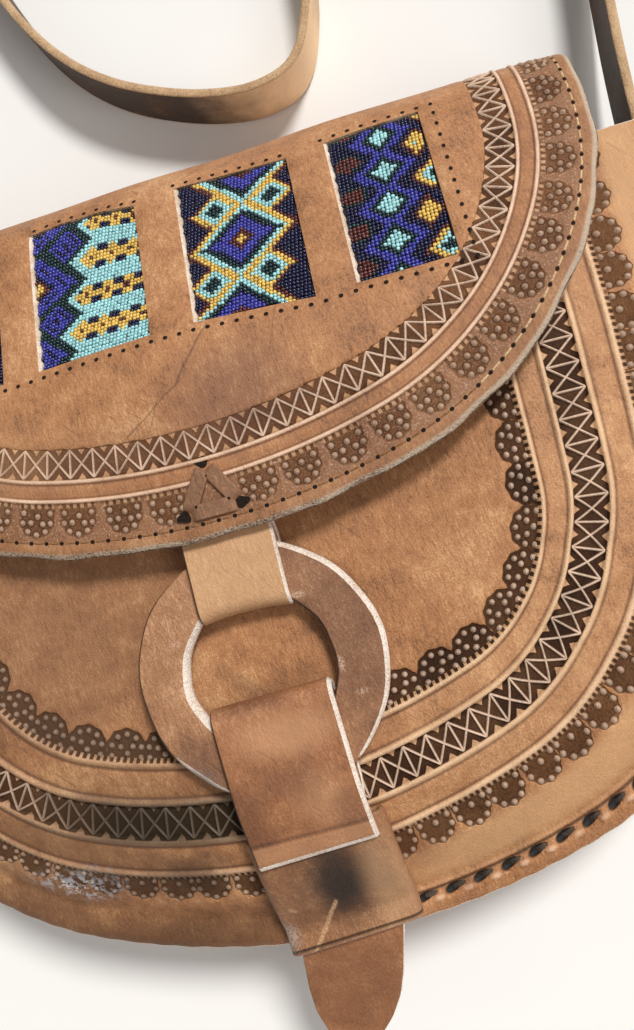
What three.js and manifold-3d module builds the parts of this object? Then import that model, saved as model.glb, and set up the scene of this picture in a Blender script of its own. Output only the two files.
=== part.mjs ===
// Half-moon shoulder bag of tooled leather, lying on its back.
// Millimetres. X runs across the bag, Y runs up to the fold of the flap, Z rises from the floor.
// The origin is on the floor, under the middle of the bag's body.

import * as THREE from 'three';
import { mergeVertices } from 'three/addons/utils/BufferGeometryUtils.js';
import Module from 'manifold-3d';

// Leather thicknesses and the gap between pieces that touch
const panelThickness = 2.4;
const gussetThickness = 2;
const flapThickness = 2;
const liningThickness = 1;
const strapThickness = 2;
const keeperThickness = 1.8;
const ringThickness = 3.8;
const shoulderThickness = 2.8;
const gap = 0.3;

// Body outline, a U of tangent arcs: straight sides, round corners, wide bottom curve
const body = { halfWidth: 142, bottomY: -115.5, cornerRadius: 103, bottomRadius: 218 };
const mouthY = 84;
const backTopY = 97;

// Front panel, a flat rim that swells to a belly and flattens again at the mouth
const rimHeight = 43;
const rimWidth = 9;
const bellyRise = 17;
const bellyReach = 62;
const mouthFallStartY = 25;
const mouthFall = 0.9;

// Gusset, a channel whose flanges lie under and over the panels' rims
const gussetEdgeInset = 0.4;
const gussetWallInset = 7.5;
const gussetBendRadius = 2;

// Closing ring and the straps folded round it
const ringCentreY = -34.8;
const ringOuterRadius = 33.7;
const ringHoleRadius = 20;
const ringChamfer = 0.9;
const hangerWidth = 25;
const hangerTopY = 27;
const hangerBow = 0.55;
const tongueHalfWidth = 16.8;
const tongueLean = THREE.MathUtils.degToRad(2.5);
const tongueFoldReach = 10.6;
const tongueFrontReach = 50.3;
const tongueBackHalfWidth = 15.2;
const tongueBackDrift = -1.6;
const keeperStartReach = 43.5;
const keeperEndReach = 78.5;
const keeperHalfWidth = 19.5;
const keeperCornerRadius = 2.2;
const keeperSlack = 0.6;
const tailSlope = THREE.MathUtils.degToRad(20);

// Tail of the tongue below the keeper, which swings to the left, by reach from the ring's centre
const tailTable = [
  { reach: 79.5, aside: -1.8, halfWidth: 15.1 },
  { reach: 84, aside: -3, halfWidth: 14.7 },
  { reach: 92, aside: -5.1, halfWidth: 14.2 },
  { reach: 100, aside: -7.2, halfWidth: 12.8 },
  { reach: 107, aside: -9.1, halfWidth: 10 },
  { reach: 112, aside: -10.4, halfWidth: 6.4 },
  { reach: 114, aside: -10.9, halfWidth: 4 },
];

// Flap, measured along its leather from the lower edge: flat, bend, slope, fold, seam
const flap = { halfWidth: 121, bottomY: 0, cornerRadius: 94, bottomRadius: 197 };
const flapEdgeY = 1.7;
const flapFlatLength = 36.2;
const flapBendRadius = 60;
const flapSlope = THREE.MathUtils.degToRad(20);
const flapSlopeLength = 41.2;
const flapSeamLength = 18;
const flapSideSag = 0.0005;
const liningInset = 0.5;

// Windows in the flap, with the beaded panels that fill them
const windowStart = 55.8;
const windowHeight = 47.6;
const beadDepth = 0.5;
const windowTable = [
  { name: 'bead_panel_1', centreX: -64.6, width: 27.2 },
  { name: 'bead_panel_2', centreX: -23.4, width: 33.2 },
  { name: 'bead_panel_3', centreX: 22.2, width: 33.2 },
  { name: 'bead_panel_4', centreX: 63.4, width: 27.2 },
];

// Lace through three holes of the flap, which holds the hanger
const laceHoleRadius = 1.9;
const lacePinRadius = 1.5;
const laceWidth = 3.4;
const laceThickness = 1.5;
const laceHoles = [
  { x: 0, y: 20.4 },
  { x: -7.2, y: 8.8 },
  { x: 7.2, y: 8.8 },
];

// Shoulder strap, on its edge on the floor in two loops behind the bag
const shoulderWidth = 20;
const shoulderFloorZ = shoulderWidth / 2 + 0.15;
const shoulderSeatZ = 23;
const shoulderSeatX = body.halfWidth - gussetWallInset + gap + shoulderThickness / 2 + 0.1;
const shoulderSteps = 76;
const shoulderRoute = [
  { x: shoulderSeatX, y: 20, z: shoulderSeatZ },
  { x: shoulderSeatX, y: 50, z: shoulderSeatZ },
  { x: shoulderSeatX, y: 80, z: shoulderSeatZ - 0.5 },
  { x: 138.5, y: 110, z: 18 },
  { x: 143, y: 150, z: 12 },
  { x: 147, y: 200, z: shoulderFloorZ },
  { x: 144, y: 255, z: shoulderFloorZ },
  { x: 127, y: 297, z: shoulderFloorZ },
  { x: 102, y: 310, z: shoulderFloorZ },
  { x: 78, y: 292, z: shoulderFloorZ },
  { x: 66, y: 245, z: shoulderFloorZ },
  { x: 60, y: 200, z: shoulderFloorZ },
  { x: 55.5, y: 165, z: shoulderFloorZ },
  { x: 46, y: 145, z: shoulderFloorZ },
  { x: 32.5, y: 141, z: shoulderFloorZ },
  { x: 17, y: 143.5, z: shoulderFloorZ },
  { x: 2, y: 149.3, z: shoulderFloorZ },
  { x: -12.5, y: 157.5, z: shoulderFloorZ },
  { x: -25, y: 168.5, z: shoulderFloorZ },
  { x: -36, y: 184, z: shoulderFloorZ },
  { x: -48, y: 212, z: shoulderFloorZ },
  { x: -59, y: 250, z: shoulderFloorZ },
  { x: -74, y: 292, z: shoulderFloorZ },
  { x: -100, y: 310, z: shoulderFloorZ },
  { x: -127, y: 297, z: shoulderFloorZ },
  { x: -144, y: 255, z: shoulderFloorZ },
  { x: -147, y: 200, z: shoulderFloorZ },
  { x: -143, y: 150, z: 12 },
  { x: -138.5, y: 110, z: 18 },
  { x: -shoulderSeatX, y: 80, z: shoulderSeatZ - 0.5 },
  { x: -shoulderSeatX, y: 50, z: shoulderSeatZ },
  { x: -shoulderSeatX, y: 20, z: shoulderSeatZ },
];

// Mesh steps
const bottomSteps = 5;
const cornerSteps = 9;
const sideSteps = 5;
const foldSteps = 12;
const panelColumns = 16;
const flapColumns = 14;
const firstRowAngle = 0.05;

const colours = {
  panel: 0x9a6238,
  flap: 0x8a4f2c,
  lining: 0xb48a62,
  strap: 0x7a452a,
  hanger: 0xb58256,
  lace: 0x5a3320,
  beads: 0x2a6f8f,
};

const wasm = await Module();
wasm.setup();

// Heights of the layers that lie on the belly
const bellyTop = rimHeight + bellyRise;
const underStrapZ = bellyTop + gap + strapThickness / 2;
const ringBottom = underStrapZ + strapThickness / 2 + gap;
const ringTop = ringBottom + ringThickness;
const overStrapZ = ringTop + gap + strapThickness / 2;
const liningBottom = overStrapZ + strapThickness / 2 + gap;
const flapTop = liningBottom + liningThickness + gap + flapThickness;

function smoothstep(from, to, value) {
  const t = THREE.MathUtils.clamp((value - from) / (to - from), 0, 1);
  return t * t * (3 - 2 * t);
}

// Arc centres of a U outline
function arcsOf(outline) {
  const cornerX = outline.halfWidth - outline.cornerRadius;
  const bottomCentreY = outline.bottomY + outline.bottomRadius;
  const reach = outline.bottomRadius - outline.cornerRadius;
  const cornerY = bottomCentreY - Math.sqrt(reach ** 2 - cornerX ** 2);
  const joinAngle = Math.atan2(cornerX, bottomCentreY - cornerY);
  return { cornerX, cornerY, bottomCentreY, joinAngle };
}

// Points of the right half of a U, from the bottom up to where the straight side starts
function lowerHalf(outline, inset) {
  const { cornerX, cornerY, bottomCentreY, joinAngle } = arcsOf(outline);
  const points = [];
  for (let step = 0; step < bottomSteps; step += 1) {
    const angle = THREE.MathUtils.lerp(firstRowAngle, joinAngle, step / bottomSteps);
    const radius = outline.bottomRadius - inset;
    points.push({ x: radius * Math.sin(angle), y: bottomCentreY - radius * Math.cos(angle) });
  }
  for (let step = 0; step <= cornerSteps; step += 1) {
    const angle = THREE.MathUtils.lerp(joinAngle, Math.PI / 2, step / cornerSteps);
    const radius = outline.cornerRadius - inset;
    points.push({ x: cornerX + radius * Math.sin(angle), y: cornerY - radius * Math.cos(angle) });
  }
  return points;
}

// Right half of the body outline, from the bottom up to a top line
function bodyHalf(inset, topY) {
  const points = lowerHalf(body, inset);
  const sideStart = points.at(-1);
  for (let step = 1; step <= sideSteps; step += 1) {
    points.push({ x: sideStart.x, y: THREE.MathUtils.lerp(sideStart.y, topY, step / sideSteps) });
  }
  return points;
}

// How far a point lies inside the body outline
function insetFromBody(x, y) {
  const { cornerX, cornerY, bottomCentreY, joinAngle } = arcsOf(body);
  const side = Math.abs(x);
  if (y >= cornerY) {
    return body.halfWidth - side;
  }
  if (Math.atan2(side, bottomCentreY - y) > joinAngle) {
    return body.cornerRadius - Math.hypot(side - cornerX, y - cornerY);
  }
  return body.bottomRadius - Math.hypot(side, bottomCentreY - y);
}

// Upper face of the front panel
function panelZ(x, y) {
  const inward = insetFromBody(x, y) - rimWidth;
  const climb = THREE.MathUtils.clamp(inward / (bellyReach - rimWidth), 0, 1);
  const belly = 1 - (1 - climb) ** 2;
  return rimHeight + bellyRise * belly * (1 - mouthFall * smoothstep(mouthFallStartY, mouthY, y));
}

// Closed solid between two grids of points of the same size
function solidBetween(outer, inner) {
  const rows = outer.length;
  const columns = outer[0].length;
  const corners = [...outer.flat(), ...inner.flat()];
  const over = (row, column) => row * columns + column;
  const under = (row, column) => (rows + row) * columns + column;
  const triangles = [];
  const quad = (a, b, c, d) => triangles.push(a, b, c, a, c, d);
  const last = columns - 1;
  const end = rows - 1;
  for (let row = 0; row < end; row += 1) {
    for (let column = 0; column < last; column += 1) {
      quad(over(row, column), over(row, column + 1), over(row + 1, column + 1), over(row + 1, column));
      quad(under(row, column), under(row + 1, column), under(row + 1, column + 1), under(row, column + 1));
    }
    quad(over(row, 0), over(row + 1, 0), under(row + 1, 0), under(row, 0));
    quad(over(row + 1, last), over(row, last), under(row, last), under(row + 1, last));
  }
  for (let column = 0; column < last; column += 1) {
    quad(over(0, column + 1), over(0, column), under(0, column), under(0, column + 1));
    quad(over(end, column), over(end, column + 1), under(end, column + 1), under(end, column));
  }
  return outwardSolid(corners, triangles);
}

// Solid from corner points and triangles, turned so that its faces look outwards
function outwardSolid(corners, triangles) {
  let volume = 0;
  for (let i = 0; i < triangles.length; i += 3) {
    const [a, b, c] = triangles.slice(i, i + 3).map((corner) => corners[corner]);
    volume += a.dot(b.clone().cross(c));
  }
  if (volume < 0) {
    triangles.reverse();
  }
  const geometry = new THREE.BufferGeometry().setFromPoints(corners);
  geometry.setIndex(triangles);
  return geometry;
}

function toManifold(geometry) {
  const bare = geometry.clone();
  bare.deleteAttribute('normal');
  bare.deleteAttribute('uv');
  const merged = mergeVertices(bare);
  const mesh = new wasm.Mesh({
    numProp: 3,
    vertProperties: new Float32Array(merged.attributes.position.array),
    triVerts: new Uint32Array(merged.index.array),
  });
  return new wasm.Manifold(mesh);
}

function fromManifold(manifold) {
  const { vertProperties, triVerts } = manifold.getMesh();
  const geometry = new THREE.BufferGeometry();
  geometry.setAttribute('position', new THREE.Float32BufferAttribute(vertProperties, 3));
  geometry.setIndex([...triVerts]);
  return geometry;
}

function subtractAll(geometry, cutters) {
  return fromManifold(cutters.reduce((rest, cutter) => rest.subtract(toManifold(cutter)), toManifold(geometry)));
}

function uniteAll(geometries) {
  return fromManifold(geometries.map(toManifold).reduce((sum, next) => sum.add(next)));
}

// Strip of leather: rows along it, each row with its own points across the strip
function stripSolid(rows, thickness) {
  const skin = (sign) => rows.map(({ points, normal }) =>
    points.map((point) => point.clone().addScaledVector(normal, (sign * thickness) / 2)));
  return solidBetween(skin(1), skin(-1));
}

// Normals of a path in the plane of its run and Z, turned a quarter from the path
function pathNormals(path) {
  return path.map((_, i) => {
    const before = path[Math.max(i - 1, 0)];
    const after = path[Math.min(i + 1, path.length - 1)];
    const along = new THREE.Vector2(after.run - before.run, after.z - before.z).normalize();
    return { run: -along.y, z: along.x };
  });
}

function makeBackPanel() {
  const half = bodyHalf(0, backTopY);
  const shape = new THREE.Shape();
  half.forEach(({ x, y }, i) => (i === 0 ? shape.moveTo(x, y) : shape.lineTo(x, y)));
  half.toReversed().forEach(({ x, y }) => shape.lineTo(-x, y));
  return new THREE.ExtrudeGeometry(shape, { depth: panelThickness, bevelEnabled: false });
}

function makeFrontPanel() {
  const skin = (drop) => bodyHalf(0, mouthY).map(({ x: halfX, y }) => {
    const row = [];
    for (let column = 0; column <= panelColumns; column += 1) {
      const x = halfX * ((2 * column) / panelColumns - 1);
      row.push(new THREE.Vector3(x, y, panelZ(x, y) - drop));
    }
    return row;
  });
  return solidBetween(skin(0), skin(panelThickness));
}

function makeGusset() {
  const low = panelThickness + gap;
  const high = rimHeight - panelThickness - gap;
  const inner = gussetWallInset + gussetThickness;
  const section = [
    [gussetEdgeInset, low],
    [inner - gussetBendRadius, low],
    [inner, low + gussetBendRadius],
    [inner, high - gussetBendRadius],
    [inner - gussetBendRadius, high],
    [gussetEdgeInset, high],
    [gussetEdgeInset, high - gussetThickness],
    [gussetWallInset, high - gussetThickness],
    [gussetWallInset, low + gussetThickness],
    [gussetEdgeInset, low + gussetThickness],
  ];
  const rails = section.map(([inset, z]) => {
    const right = bodyHalf(inset, mouthY).map(({ x, y }) => new THREE.Vector3(x, y, z));
    const left = right.map(({ x, y }) => new THREE.Vector3(-x, y, z)).toReversed();
    return [...left, ...right];
  });
  const stations = rails[0].length;
  const sides = rails.length;
  const corners = rails.flat();
  const at = (side, station) => (side % sides) * stations + station;
  const triangles = [];
  for (let side = 0; side < sides; side += 1) {
    for (let station = 0; station + 1 < stations; station += 1) {
      const [a, b] = [at(side, station), at(side + 1, station)];
      const [c, d] = [at(side + 1, station + 1), at(side, station + 1)];
      triangles.push(a, b, c, a, c, d);
    }
  }
  const outline = section.map(([inset, z]) => new THREE.Vector2(inset, z));
  THREE.ShapeUtils.triangulateShape(outline, []).forEach(([a, b, c]) => {
    triangles.push(at(a, 0), at(c, 0), at(b, 0));
    triangles.push(at(a, stations - 1), at(b, stations - 1), at(c, stations - 1));
  });
  return outwardSolid(corners, triangles);
}

// Side profile of the flap's outer face at a length along the leather from the lower edge
const slopeEndZ = flapTop - flapBendRadius * (1 - Math.cos(flapSlope)) - flapSlopeLength * Math.sin(flapSlope);
const foldRadius = (slopeEndZ - panelThickness - gap) / (1 + Math.cos(flapSlope));
const flapRuns = [
  { length: flapFlatLength, turn: 0 },
  { length: flapBendRadius * flapSlope, turn: flapSlope },
  { length: flapSlopeLength, turn: 0 },
  { length: foldRadius * (Math.PI - flapSlope), turn: Math.PI - flapSlope },
  { length: flapSeamLength, turn: 0 },
];
const foldStart = flapRuns.slice(0, 3).reduce((sum, run) => sum + run.length, 0);
const foldEnd = foldStart + flapRuns[3].length;
const flapLength = foldEnd + flapSeamLength;

function flapProfile(length) {
  let [y, z, heading, left] = [flapEdgeY, flapTop, 0, length];
  for (const run of flapRuns) {
    const step = Math.min(left, run.length);
    if (run.turn === 0) {
      y += step * Math.cos(heading);
      z -= step * Math.sin(heading);
    } else {
      const radius = run.length / run.turn;
      const next = heading + step / radius;
      y += radius * (Math.sin(next) - Math.sin(heading));
      z += radius * (Math.cos(next) - Math.cos(heading));
      heading = next;
    }
    left -= step;
    if (left <= 0) {
      break;
    }
  }
  return { y, z, heading };
}

// Point of the flap at a depth below its outer face
function flapPoint(x, length, depth) {
  const { y, z, heading } = flapProfile(length);
  const sag = flapSideSag * x * x * (1 - smoothstep(foldStart, foldEnd, length));
  return new THREE.Vector3(x, y - depth * Math.sin(heading), z - depth * Math.cos(heading) - sag);
}

// Layer of the flap between two depths
function flapLayer(topDepth, bottomDepth, inset) {
  const rows = lowerHalf(flap, inset);
  const side = rows.at(-1);
  rows.push({ x: side.x, y: (side.y + foldStart) / 2 });
  for (let step = 0; step <= foldSteps; step += 1) {
    rows.push({ x: side.x, y: THREE.MathUtils.lerp(foldStart, foldEnd, step / foldSteps) });
  }
  rows.push({ x: side.x, y: flapLength });
  const skin = (depth) => rows.map(({ x: halfX, y: length }) => {
    const row = [];
    for (let column = 0; column <= flapColumns; column += 1) {
      row.push(flapPoint(halfX * ((2 * column) / flapColumns - 1), length, depth));
    }
    return row;
  });
  return solidBetween(skin(topDepth), skin(bottomDepth));
}

// Block that reaches through the flap at a window
function windowBlock({ centreX, width }, inset) {
  const { y, z, heading } = flapProfile(windowStart + windowHeight / 2);
  const block = new THREE.BoxGeometry(width - 2 * inset, windowHeight - 2 * inset, 24);
  block.rotateX(-heading);
  block.translate(centreX, y, z);
  return block;
}

function laceCutters() {
  return laceHoles.map(({ x, y }) => {
    const hole = new THREE.CylinderGeometry(laceHoleRadius, laceHoleRadius, 40, 10);
    hole.rotateX(Math.PI / 2);
    hole.translate(x, y, flapTop);
    return hole;
  });
}

function makeFlap() {
  const windows = windowTable.map((row) => windowBlock(row, 0));
  return subtractAll(flapLayer(0, flapThickness, 0), [...windows, ...laceCutters()]);
}

function makeLining() {
  const top = flapThickness + gap;
  return subtractAll(flapLayer(top, top + liningThickness, liningInset), laceCutters());
}

function makeBeadPanel(row) {
  const layer = toManifold(flapLayer(beadDepth, flapThickness, 0));
  return fromManifold(layer.intersect(toManifold(windowBlock(row, gap))));
}

// Half circle of a strap folded round the ring's rim, in run and Z
function foldRound(run, direction) {
  const radius = (overStrapZ - underStrapZ) / 2;
  const steps = 6;
  const turn = [];
  for (let step = 0; step <= steps; step += 1) {
    const angle = (Math.PI * step) / steps;
    const out = direction * radius * Math.sin(angle);
    turn.push({ run: run + out, z: overStrapZ - radius * (1 - Math.cos(angle)) });
  }
  return turn;
}

// Strap that hangs from the flap and holds the ring, its fold bowed like the ring's hole
function makeHanger() {
  const ringTopY = ringCentreY + ringOuterRadius;
  const meetZ = overStrapZ - strapThickness - gap;
  const path = [
    { run: hangerTopY, z: overStrapZ },
    { run: 12, z: overStrapZ },
    { run: ringTopY, z: overStrapZ },
    { run: -8, z: overStrapZ },
    ...foldRound(ringCentreY + ringHoleRadius - gap, -1),
    { run: -8, z: underStrapZ },
    { run: ringTopY, z: underStrapZ },
    { run: 2, z: (underStrapZ + meetZ) / 2 },
    { run: 5, z: meetZ },
    { run: 9, z: meetZ },
    { run: hangerTopY, z: meetZ },
  ];
  const normals = pathNormals(path);
  const columns = [-1, -0.6, -0.2, 0.2, 0.6, 1];
  const rows = path.map(({ run, z }, i) => {
    const bowing = 1 - smoothstep(ringCentreY + ringHoleRadius, ringTopY + 6, run);
    const points = columns.map((column) => {
      const x = (column * hangerWidth) / 2;
      const bow = Math.sqrt(ringHoleRadius ** 2 - x ** 2) - ringHoleRadius;
      return new THREE.Vector3(x, run + hangerBow * bow * bowing, z);
    });
    return { points, normal: new THREE.Vector3(0, normals[i].run, normals[i].z) };
  });
  return subtractAll(stripSolid(rows, strapThickness), laceCutters());
}

function makeRing() {
  const half = ringThickness / 2;
  const cut = ringChamfer;
  const section = [
    [ringHoleRadius + cut, -half],
    [ringOuterRadius - cut, -half],
    [ringOuterRadius, cut - half],
    [ringOuterRadius, half - cut],
    [ringOuterRadius - cut, half],
    [ringHoleRadius + cut, half],
    [ringHoleRadius, half - cut],
    [ringHoleRadius, cut - half],
    [ringHoleRadius + cut, -half],
  ].map(([radius, z]) => new THREE.Vector2(radius, z));
  const ring = new THREE.LatheGeometry(section, 40);
  ring.rotateX(Math.PI / 2);
  ring.translate(0, ringCentreY, ringBottom + half);
  return ring;
}

// Place on the leaning centre line of the tongue, at a reach from the ring's centre
function tonguePlace(reach, aside) {
  const x = reach * Math.sin(tongueLean) + aside * Math.cos(tongueLean);
  const y = ringCentreY - reach * Math.cos(tongueLean) + aside * Math.sin(tongueLean);
  return { x, y };
}

// Highest point of the front panel under a strip across the tongue's line
function bearingZ(reach, halfWidth) {
  return Math.max(...[-1, 0, 1].map((side) => {
    const { x, y } = tonguePlace(reach, side * halfWidth);
    return panelZ(x, y);
  }));
}

const keeperInnerLift = gap + keeperThickness + keeperSlack;
const keeperHeight = 2 * (keeperThickness + keeperSlack) + strapThickness;
const keeperReaches = [0, 0.2, 0.4, 0.6, 0.8, 1].map((part) =>
  THREE.MathUtils.lerp(keeperStartReach, keeperEndReach, part));

// Strap folded over the ring's lower rim, through the keeper and out below the bag
function makeTongue() {
  const onKeeper = (reach) => bearingZ(reach, keeperHalfWidth) + gap + keeperHeight + keeperSlack + strapThickness / 2;
  const inKeeper = (reach) => bearingZ(reach, keeperHalfWidth) + keeperInnerLift + strapThickness / 2;
  const front = [tongueFrontReach, 46, keeperStartReach].map((reach) => ({ run: reach, z: onKeeper(reach) }));
  const back = keeperReaches.map((reach) => {
    const part = (reach - keeperStartReach) / (keeperEndReach - keeperStartReach);
    return { run: reach, z: inKeeper(reach), aside: part * tongueBackDrift, halfWidth: tongueBackHalfWidth };
  });
  const keeperExit = back.at(-1);
  const tail = tailTable.map(({ reach, aside, halfWidth }) => {
    const drop = (reach - keeperExit.run) * Math.tan(tailSlope);
    return { run: reach, z: keeperExit.z - drop, aside, halfWidth };
  });
  const path = [
    ...front,
    { run: 39, z: overStrapZ - 1.3 },
    { run: ringOuterRadius, z: overStrapZ },
    { run: 22, z: overStrapZ },
    ...foldRound(tongueFoldReach, -1),
    { run: 22, z: underStrapZ },
    { run: ringOuterRadius, z: underStrapZ },
    ...back,
    ...tail,
  ];
  const normals = pathNormals(path);
  const rows = path.map(({ run, z, aside = 0, halfWidth = tongueHalfWidth }, i) => {
    const points = [-1, 0, 1].map((side) => {
      const { x, y } = tonguePlace(run, aside + side * halfWidth);
      return new THREE.Vector3(x, y, z);
    });
    const along = tonguePlace(normals[i].run, 0);
    const normal = new THREE.Vector3(along.x, along.y - ringCentreY, normals[i].z);
    return { points, normal };
  });
  return stripSolid(rows, strapThickness);
}

// Flat sleeve sewn to the front panel, which the tongue passes through
function makeKeeper() {
  const loop = (shrink, radius) => {
    const [halfWidth, low, high] = [keeperHalfWidth - shrink, shrink, keeperHeight - shrink];
    const corners = [[1, low, 1], [1, high, -1], [-1, high, -1], [-1, low, 1]];
    return corners.flatMap(([side, z, inward], quarter) => [0, 1, 2].map((step) => {
      const angle = ((quarter - 1) * Math.PI) / 2 + (step * Math.PI) / 4;
      const aside = side * (halfWidth - radius) + radius * Math.cos(angle);
      return { aside, z: z + inward * radius + radius * Math.sin(angle) };
    }));
  };
  const place = (profile) => keeperReaches.map((reach) => {
    const seat = bearingZ(reach, keeperHalfWidth) + gap;
    return profile.map(({ aside, z }) => {
      const { x, y } = tonguePlace(reach, aside);
      return new THREE.Vector3(x, y, seat + z);
    });
  });
  const closed = (rows) => rows.map((row) => [...row, row[0]]);
  const outer = closed(place(loop(0, keeperCornerRadius)));
  const inner = closed(place(loop(keeperThickness, keeperCornerRadius - keeperThickness)));
  return sleeveBetween(outer, inner);
}

// Closed tube between an outer and an inner wall, whose rows end where they start
function sleeveBetween(outer, inner) {
  const rows = outer.length;
  const around = outer[0].length - 1;
  const corners = [...outer, ...inner].flatMap((row) => row.slice(0, around));
  const over = (row, column) => row * around + (column % around);
  const under = (row, column) => (rows + row) * around + (column % around);
  const triangles = [];
  const quad = (a, b, c, d) => triangles.push(a, b, c, a, c, d);
  for (let column = 0; column < around; column += 1) {
    for (let row = 0; row + 1 < rows; row += 1) {
      quad(over(row, column), over(row, column + 1), over(row + 1, column + 1), over(row + 1, column));
      quad(under(row, column), under(row + 1, column), under(row + 1, column + 1), under(row, column + 1));
    }
    quad(over(0, column + 1), over(0, column), under(0, column), under(0, column + 1));
    const end = rows - 1;
    quad(over(end, column), over(end, column + 1), under(end, column + 1), under(end, column));
  }
  return outwardSolid(corners, triangles);
}

// Thong tied through the three holes, over the flap and under the hanger
function makeLace() {
  const topZ = flapTop + gap + laceThickness / 2;
  const bottomZ = overStrapZ - 1.5 * strapThickness - 2 * gap - laceThickness / 2;
  const pins = laceHoles.map(({ x, y }) => {
    const pin = new THREE.CylinderGeometry(lacePinRadius, lacePinRadius, topZ - bottomZ, 8);
    pin.rotateX(Math.PI / 2);
    pin.translate(x, y, (topZ + bottomZ) / 2);
    return pin;
  });
  const strands = [topZ, bottomZ].flatMap((z) => laceHoles.map((from, i) => {
    const to = laceHoles[(i + 1) % laceHoles.length];
    const run = new THREE.Vector2(to.x - from.x, to.y - from.y);
    const strand = new THREE.BoxGeometry(run.length() + laceWidth, laceWidth, laceThickness);
    strand.rotateZ(run.angle());
    strand.translate((from.x + to.x) / 2, (from.y + to.y) / 2, z);
    return strand;
  }));
  return uniteAll([...pins, ...strands]);
}

function makeShoulderStrap() {
  const route = new THREE.CatmullRomCurve3(
    shoulderRoute.map(({ x, y, z }) => new THREE.Vector3(x, y, z)), false, 'centripetal');
  const rows = [];
  for (let step = 0; step <= shoulderSteps; step += 1) {
    const centre = route.getPointAt(step / shoulderSteps);
    const along = route.getTangentAt(step / shoulderSteps);
    const normal = new THREE.Vector3(along.y, -along.x, 0).normalize();
    const points = [-1, 1].map((side) =>
      centre.clone().add(new THREE.Vector3(0, 0, (side * shoulderWidth) / 2)));
    rows.push({ points, normal });
  }
  return stripSolid(rows, shoulderThickness);
}

const bag = new THREE.Group();
bag.name = 'shoulder_bag';

function addPiece(name, geometry, colour) {
  geometry.computeVertexNormals();
  const mesh = new THREE.Mesh(geometry, new THREE.MeshStandardMaterial({ color: colour, roughness: 0.7 }));
  mesh.name = name;
  bag.add(mesh);
}

addPiece('back_panel', makeBackPanel(), colours.panel);
addPiece('gusset', makeGusset(), colours.panel);
addPiece('front_panel', makeFrontPanel(), colours.panel);
addPiece('flap', makeFlap(), colours.flap);
addPiece('flap_lining', makeLining(), colours.lining);
windowTable.forEach((row) => addPiece(row.name, makeBeadPanel(row), colours.beads));
addPiece('hanger', makeHanger(), colours.hanger);
addPiece('ring', makeRing(), colours.strap);
addPiece('tongue', makeTongue(), colours.strap);
addPiece('keeper', makeKeeper(), colours.strap);
addPiece('flap_lace', makeLace(), colours.lace);
addPiece('shoulder_strap', makeShoulderStrap(), colours.strap);

export default bag;
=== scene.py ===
"""Looks of the tooled leather shoulder bag, lying on its back. Lengths below are in millimetres."""

import math

import bpy
import numpy as np
from mathutils import Matrix, Vector


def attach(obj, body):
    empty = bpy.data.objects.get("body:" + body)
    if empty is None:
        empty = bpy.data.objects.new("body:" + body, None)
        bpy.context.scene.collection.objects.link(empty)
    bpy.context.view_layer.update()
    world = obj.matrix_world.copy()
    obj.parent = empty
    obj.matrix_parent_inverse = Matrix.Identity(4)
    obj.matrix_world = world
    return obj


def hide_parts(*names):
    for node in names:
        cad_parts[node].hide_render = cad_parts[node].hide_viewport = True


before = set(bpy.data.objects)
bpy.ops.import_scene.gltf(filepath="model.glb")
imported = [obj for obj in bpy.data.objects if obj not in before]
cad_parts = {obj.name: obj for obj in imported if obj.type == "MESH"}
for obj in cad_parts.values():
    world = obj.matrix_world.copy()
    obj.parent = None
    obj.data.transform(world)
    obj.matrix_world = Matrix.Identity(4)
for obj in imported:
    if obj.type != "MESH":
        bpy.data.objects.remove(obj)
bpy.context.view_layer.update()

MM = 0.001
rng = np.random.default_rng(11)
UP, DOWN, NORTH = (0, 0, 1), (0, 0, -1), (0, 1, 0)

# Leather walls and layer heights, as in the part's source
GAP = 0.3
PANEL_T = 2.4
FLAP_T = 2.0
LINING_T = 1.0
STRAP_T = 2.0
RIM_Z = 43.0
RIM_FLAT = 9
CLIMB = 53
BELLY = 17.0
UNDER_Z = 61.3
OVER_Z = 67.7
RING_MID_Z = 64.5
FLAP_TOP = 72.3
MOUTH_Y = 84.0
BACK_TOP_Y = 97.0
RING_Y = -34.8
RING_OUTER = 33.7
RING_HOLE = 20.0
BODY_HALF = 142
BODY_SHAPE = (BODY_HALF, -115.5, 103, 218)
FLAP_SHAPE = (121, 0, 94, 197)


def smooth(start, end, value):
    part = np.clip((value - start) / (end - start), 0, 1)
    return part * part * (3 - 2 * part)


def bell(value, centre, width):
    return np.exp(-(((value - centre) / width) ** 2))


def unit(vectors):
    return vectors / np.maximum(np.linalg.norm(vectors, axis=-1, keepdims=True), 1e-9)


def stack(*parts):
    """Points from coordinates that fit one shape."""
    return np.stack(np.broadcast_arrays(*parts), -1)


def grids(rows, columns):
    return np.meshgrid(rows, columns, indexing="ij")


def turns(count):
    """Angles once round."""
    return np.linspace(0, 2 * math.pi, count, endpoint=False)


def run_of(points):
    """Length along a line of points."""
    return np.concatenate([[0], np.cumsum(np.linalg.norm(np.diff(points, axis=0), axis=1))])


def centred(run):
    return run - run[len(run) // 2]


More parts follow.
